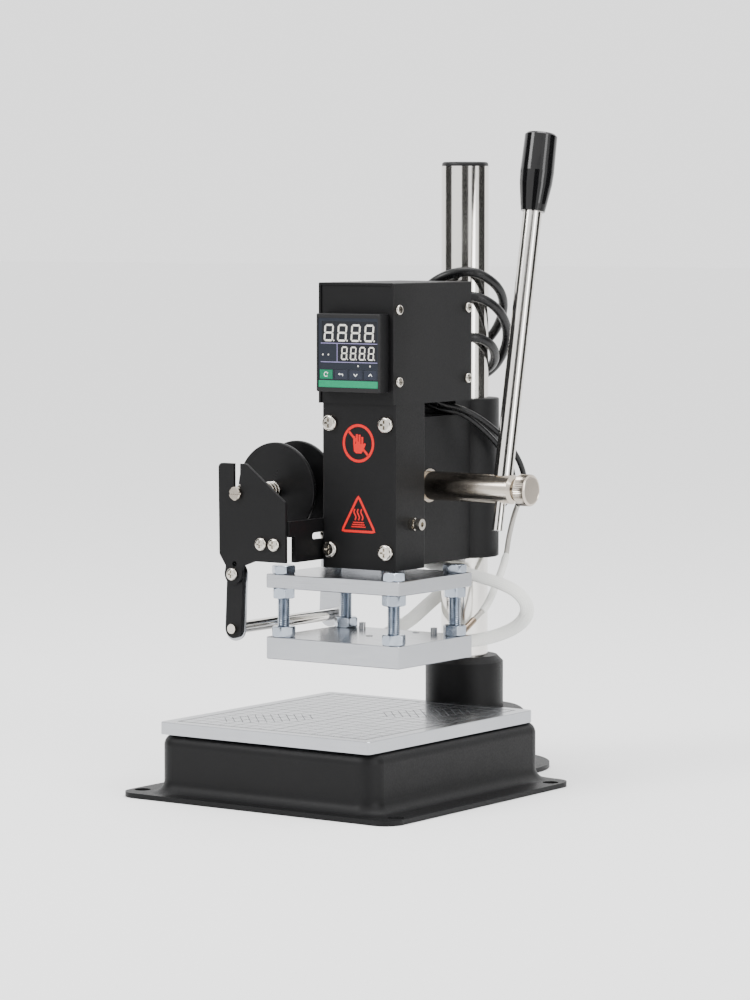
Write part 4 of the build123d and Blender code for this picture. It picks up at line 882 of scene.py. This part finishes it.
GLAND_REACH, GLAND_FLARE, GLAND_WALL = 22 * MM, 2.2 * MM, 0.25 * MM
SLEEVE_SOFT = 8 * MM  # how far from its ends a sleeve is still round
SLEEVE_FACE = (0.58, -0.6, 0.55)  # the way a sleeve's flat side looks


def round_column(across, behind, z):
    """A point given in millimetres across and behind the column, in the direction the leads are dressed."""
    cos, sin = math.cos(DRESS_TURN), math.sin(DRESS_TURN)
    return Vector((across * MM * cos - behind * MM * sin, COLUMN.y + across * MM * sin + behind * MM * cos,
                   z * MM))


def mains_route():
    """The mains cord from its gland, round the column, down behind it and into its coil."""
    points = [mm(*p) for p in MAINS_EXIT]
    for angle, radius, z in MAINS_TURNS:
        a = math.radians(angle)
        points.append(round_column(radius * math.cos(a), radius * math.sin(a), z))
    points += [round_column(*p) for p in MAINS_TAIL]
    run_x, run_y = ENTRY_RUN
    middle_x = MAINS_TAIL[-1][0] + LEAD_IN * run_x - COIL_R * run_y
    middle_y = MAINS_TAIL[-1][1] + LEAD_IN * run_y + COIL_R * run_x
    start = math.degrees(math.atan2(-run_x, run_y))
    angles, radii, heights = zip(*COIL_LAY)
    for k in range(COIL_POINTS):
        turn = k * COIL_STEP
        a = math.radians(start + turn)
        r = float(np.interp(turn, angles, radii)) * COIL_EASE
        points.append(round_column(middle_x + r * math.cos(a), middle_y + r * math.sin(a),
                                   float(np.interp(turn, angles, heights))))
    return points + [round_column(middle_x - COIL_R, middle_y - back, z) for back, z in COIL_END]


def mains_cord():
    """The free mains cord, hanging between head and bench."""
    path = spline_path(mains_route(), 6)
    mesh = tube("mains_lead", path, MAINS_R, MAINS_R)
    cord = piece("mains_lead", mesh, finish(cord_jacket), None)
    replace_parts(cord, "mains_cord", "mains_coil")
    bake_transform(cord)

    def relief_radius(s):
        return MAINS_R + GLAND_FLARE * (1 - s / GLAND_REACH) + GLAND_WALL

    last = next(i for i in range(len(path)) if path_length(path[:i + 1]) > GLAND_REACH)
    mesh = tube("gland_relief", path[:last], relief_radius, relief_radius, count=20)
    piece("gland_relief", mesh, finish(moulded_black), "head")


def head_leads():
    """The probe's and the heaters' black leads, held by the head, with the boot that splits them."""
    for name, route in (("sensor_lead", SENSOR_LEAD), ("heater_lead", HEATER_LEAD)):
        mesh = tube(name, spline_path([mm(*p) for p in route]), LEAD_R, LEAD_R)
        lead = piece(name + "_cable", mesh, finish(cord_jacket), "head")
        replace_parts(lead, name)

    def radius(angle, height):
        """Three soft ribs, and the upper end drawn in round the lead."""
        share = (height - BOOT_LOW.z) / (BOOT_HIGH.z - BOOT_LOW.z)
        return BOOT_R * (0.97 + 0.03 * math.cos(6 * math.pi * share)) * (1 - 0.45 * max(0, share - 0.7) / 0.3)

    heights = [BOOT_LOW.z + (BOOT_HIGH.z - BOOT_LOW.z) * k / 24 for k in range(25)]
    mesh = mesh_of("lead_boot", *turned(radius, heights, 32, BOOT_LOW.x, BOOT_LOW.y))
    piece("lead_boot", mesh, finish(moulded_black), "head", 40)


def flexing(name, mesh, material):
    """A piece that runs from head to ram along a path, its placement baked into its mesh."""
    obj = piece(name, mesh, material, None)
    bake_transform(obj)
    return obj


def ram_leads():
    """The two woven sleeves and the braided probe lead, which run between head and heated plate."""
    half_w, half_t = sizes().sleeve_width / 2, sizes().sleeve_thickness / 2
    for name, route in (("heater_sleeve_right", HEATER_RIGHT), ("heater_sleeve_left", HEATER_LEFT)):
        path = spline_path([mm(*p) for p in route])
        total = path_length(path)

        def flatness(s):
            end = min(1, min(s, total - s) / SLEEVE_SOFT)
            return 3 * end ** 2 - 2 * end ** 3

        mesh = tube(name, path, lambda s: half_t * 1.35 + (half_w - half_t * 1.35) * flatness(s),
                    lambda s: half_t * 1.2 - half_t * 0.2 * flatness(s), count=20, facing=SLEEVE_FACE)
        obj = flexing(name.replace("heater_sleeve", "woven_sleeve"), mesh, finish(woven_glass))
        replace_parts(obj, name)
    path = spline_path([mm(*p) for p in SENSOR_BRAID])
    mesh = tube("probe_braid", path, BRAID_R, BRAID_R)
    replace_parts(flexing("probe_braid", mesh, finish(steel_braid)), "sensor_braid")
    covered = path[int(len(path) * 0.4):int(len(path) * 0.9)]
    total = path_length(covered)

    def cover(s):
        return BRAID_R + 0.7 * MM - 0.35 * MM * max(0, 1 - min(s, total - s) / (3 * MM))

    mesh = tube("probe_sleeve", covered, cover, cover)
    flexing("probe_sleeve", mesh, finish(woven_glass))


# ---------------------------------------------------------------- return spring
SPRING_WIRE_R, SPRING_TURNS, SPRING_STEPS = 0.7 * MM, 11, 24


def return_spring():
    """The ram's return spring between the cover's peg and the ram, wound at one fixed length."""
    low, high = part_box("return_spring")
    centre, radius = middle_of("return_spring"), (high.x - low.x) / 2 - SPRING_WIRE_R
    first, last = low.z + SPRING_WIRE_R, high.z - SPRING_WIRE_R
    count = SPRING_TURNS * SPRING_STEPS
    path = []
    for k in range(count + 1):
        a = math.tau * k / SPRING_STEPS
        path.append(Vector((centre.x + radius * math.cos(a), centre.y + radius * math.sin(a),
                            first + (last - first) * k / count)))
    mesh = tube("ram_return_coil", path, SPRING_WIRE_R, SPRING_WIRE_R, 8)
    coil = piece("ram_return_coil", mesh, finish(spring_wire), None)
    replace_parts(coil, "return_spring")
    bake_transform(coil)


# ---------------------------------------------------------------- stage
CAMERA_PLACE = (1.3310, -1.8587, 0.3541)
CAMERA_DIP, CAMERA_TURN = math.radians(4.361), math.radians(35.186)
DARK_CARDS = {"dark_card_front": (-56.2, 2.9, 1.7), "dark_card_left": (-146, 2.0, 1.5),
              "dark_card_right": (34, 2.0, 1.5)}  # bearing, distance, width
CARD_HEIGHT, CARD_MIDDLE = 1.38, 0.7


def stage_camera():
    """A long lens from the front right, about level with the column's top."""
    camera = bpy.data.cameras.new("camera")
    camera.lens = 134.63
    camera.sensor_width = 36
    camera.clip_start = 0.05
    obj = placed("camera", camera)
    obj.location = CAMERA_PLACE
    obj.rotation_euler = (math.pi / 2 - CAMERA_DIP, 0, CAMERA_TURN)
    bpy.context.scene.camera = obj


def soft_light(name, place, size, power, height=None):
    """A rectangular soft box that points at the stamper."""
    light = bpy.data.lights.new(name, "AREA")
    light.shape = "RECTANGLE"
    light.size = size
    light.size_y = height or size
    light.energy = power
    obj = placed(name, light)
    obj.location = place
    obj.rotation_euler = (Vector((0, 0.03, 0.2)) - Vector(place)).to_track_quat("-Z", "Y").to_euler()


def sheet(name, width, height, material):
    """A flat sheet that belongs to the stage."""
    corners = [(-width / 2, -height / 2, 0), (width / 2, -height / 2, 0), (width / 2, height / 2, 0),
               (-width / 2, height / 2, 0)]
    mesh = mesh_of(name, corners, [(0, 1, 2, 3)])
    mesh.materials.append(material)
    obj = placed(name, mesh)
    return obj


def stage():
    """Pale floor, pale surroundings, soft boxes and the dark cards that the bright metal mirrors."""
    paper, tree = new_material("pale_backdrop_paper", linear("#fafafa"), Specular_IOR_Level=0.04)
    uneven_gloss(tree, grain(tree, 50), 0.65, 0.75)
    sheet("floor", 40, 40, paper).location.z = -0.2 * MM
    world = bpy.data.worlds.new("studio")
    world.use_nodes = True
    surroundings = world.node_tree.nodes["Background"].inputs
    surroundings["Color"].default_value = (*linear("#fdfdfd"), 1)
    surroundings["Strength"].default_value = 1.9
    bpy.context.scene.world = world
    soft_light("key_box", (-0.9, -1.5, 1.5), 0.9, 30)
    soft_light("side_box", (1.9, -0.3, 0.9), 0.5, 16, 1.6)
    soft_light("top_box", (0.1, 0.2, 1.7), 1.1, 22)
    for name, (bearing, distance, width) in DARK_CARDS.items():
        a = math.radians(bearing)
        away = Vector((math.cos(a), math.sin(a), 0)) * distance
        obj = sheet(name, width, CARD_HEIGHT, new_material(name, linear("#141312"), Roughness=0.9)[0])
        obj.location = Vector((0, COLUMN.y, CARD_MIDDLE)) + away
        obj.rotation_euler = (-away).to_track_quat("Z", "Y").to_euler()
        obj.visible_camera = False


# ---------------------------------------------------------------- operators
class STAMPER_OT_finishes(bpy.types.Operator):
    """Give every carried-over node its finish"""
    bl_idname = "stamper.finishes"
    bl_label = "Finishes"

    def execute(self, context):
        finish_cad_nodes()
        return {"FINISHED"}


class STAMPER_OT_plate_bolts(bpy.types.Operator):
    """Make the threaded bolts and nuts between the plates"""
    bl_idname = "stamper.plate_bolts"
    bl_label = "Plate bolts"

    def execute(self, context):
        plate_bolts()
        return {"FINISHED"}


class STAMPER_OT_thumb_screw(bpy.types.Operator):
    """Make the knurled thumb screw"""
    bl_idname = "stamper.thumb_screw"
    bl_label = "Thumb screw"

    def execute(self, context):
        thumb_screw()
        return {"FINISHED"}


class STAMPER_OT_controller(bpy.types.Operator):
    """Print the temperature controller's front"""
    bl_idname = "stamper.controller"
    bl_label = "Controller print"

    def execute(self, context):
        controller_print()
        return {"FINISHED"}


class STAMPER_OT_signs(bpy.types.Operator):
    """Print the two signs on the front cover"""
    bl_idname = "stamper.signs"
    bl_label = "Signs"

    def execute(self, context):
        warning_signs()
        return {"FINISHED"}


class STAMPER_OT_work_plate(bpy.types.Operator):
    """Mark the work plate's grid"""
    bl_idname = "stamper.work_plate"
    bl_label = "Work plate marks"

    def execute(self, context):
        work_plate_marks()
        return {"FINISHED"}


class STAMPER_OT_mains(bpy.types.Operator):
    """Lay the mains cord"""
    bl_idname = "stamper.mains"
    bl_label = "Mains cord"

    def execute(self, context):
        mains_cord()
        return {"FINISHED"}


class STAMPER_OT_leads(bpy.types.Operator):
    """Lay the probe's and the heaters' leads"""
    bl_idname = "stamper.leads"
    bl_label = "Leads and sleeves"

    def execute(self, context):
        head_leads()
        ram_leads()
        return {"FINISHED"}


class STAMPER_OT_spring(bpy.types.Operator):
    """Wind the ram's return spring"""
    bl_idname = "stamper.spring"
    bl_label = "Return spring"

    def execute(self, context):
        return_spring()
        return {"FINISHED"}


class STAMPER_OT_stage(bpy.types.Operator):
    """Set the floor, the lights and the camera"""
    bl_idname = "stamper.stage"
    bl_label = "Stage"

    def execute(self, context):
        stage()
        stage_camera()
        return {"FINISHED"}


OPERATORS = (STAMPER_OT_stage, STAMPER_OT_mains, STAMPER_OT_leads, STAMPER_OT_spring, STAMPER_OT_finishes,
             STAMPER_OT_plate_bolts, STAMPER_OT_thumb_screw, STAMPER_OT_controller, STAMPER_OT_signs,
             STAMPER_OT_work_plate)


class STAMPER_PT_sidebar(bpy.types.Panel):
    """Lists the stamper's operators, colours and sizes"""
    bl_idname = "STAMPER_PT_sidebar"
    bl_label = "Hot foil stamper"
    bl_space_type = "VIEW_3D"
    bl_region_type = "UI"
    bl_category = "Stamper"

    def draw(self, context):
        for group in (context.scene.stamper_finishes, context.scene.stamper_sizes):
            for name in group.__annotations__:
                self.layout.prop(group, name)
        for operator in OPERATORS:
            self.layout.operator(operator.bl_idname)


CLASSES = (StamperFinishes, StamperSizes, *OPERATORS, STAMPER_PT_sidebar)


def register():
    for item in CLASSES:
        bpy.utils.register_class(item)
    bpy.types.Scene.stamper_finishes = bpy.props.PointerProperty(type=StamperFinishes)
    bpy.types.Scene.stamper_sizes = bpy.props.PointerProperty(type=StamperSizes)


def unregister():
    del bpy.types.Scene.stamper_sizes
    del bpy.types.Scene.stamper_finishes
    for item in reversed(CLASSES):
        bpy.utils.unregister_class(item)


def main():
    register()
    for operator in OPERATORS:
        group, name = operator.bl_idname.split(".")
        getattr(getattr(bpy.ops, group), name)()


if __name__ == "__main__":
    main()
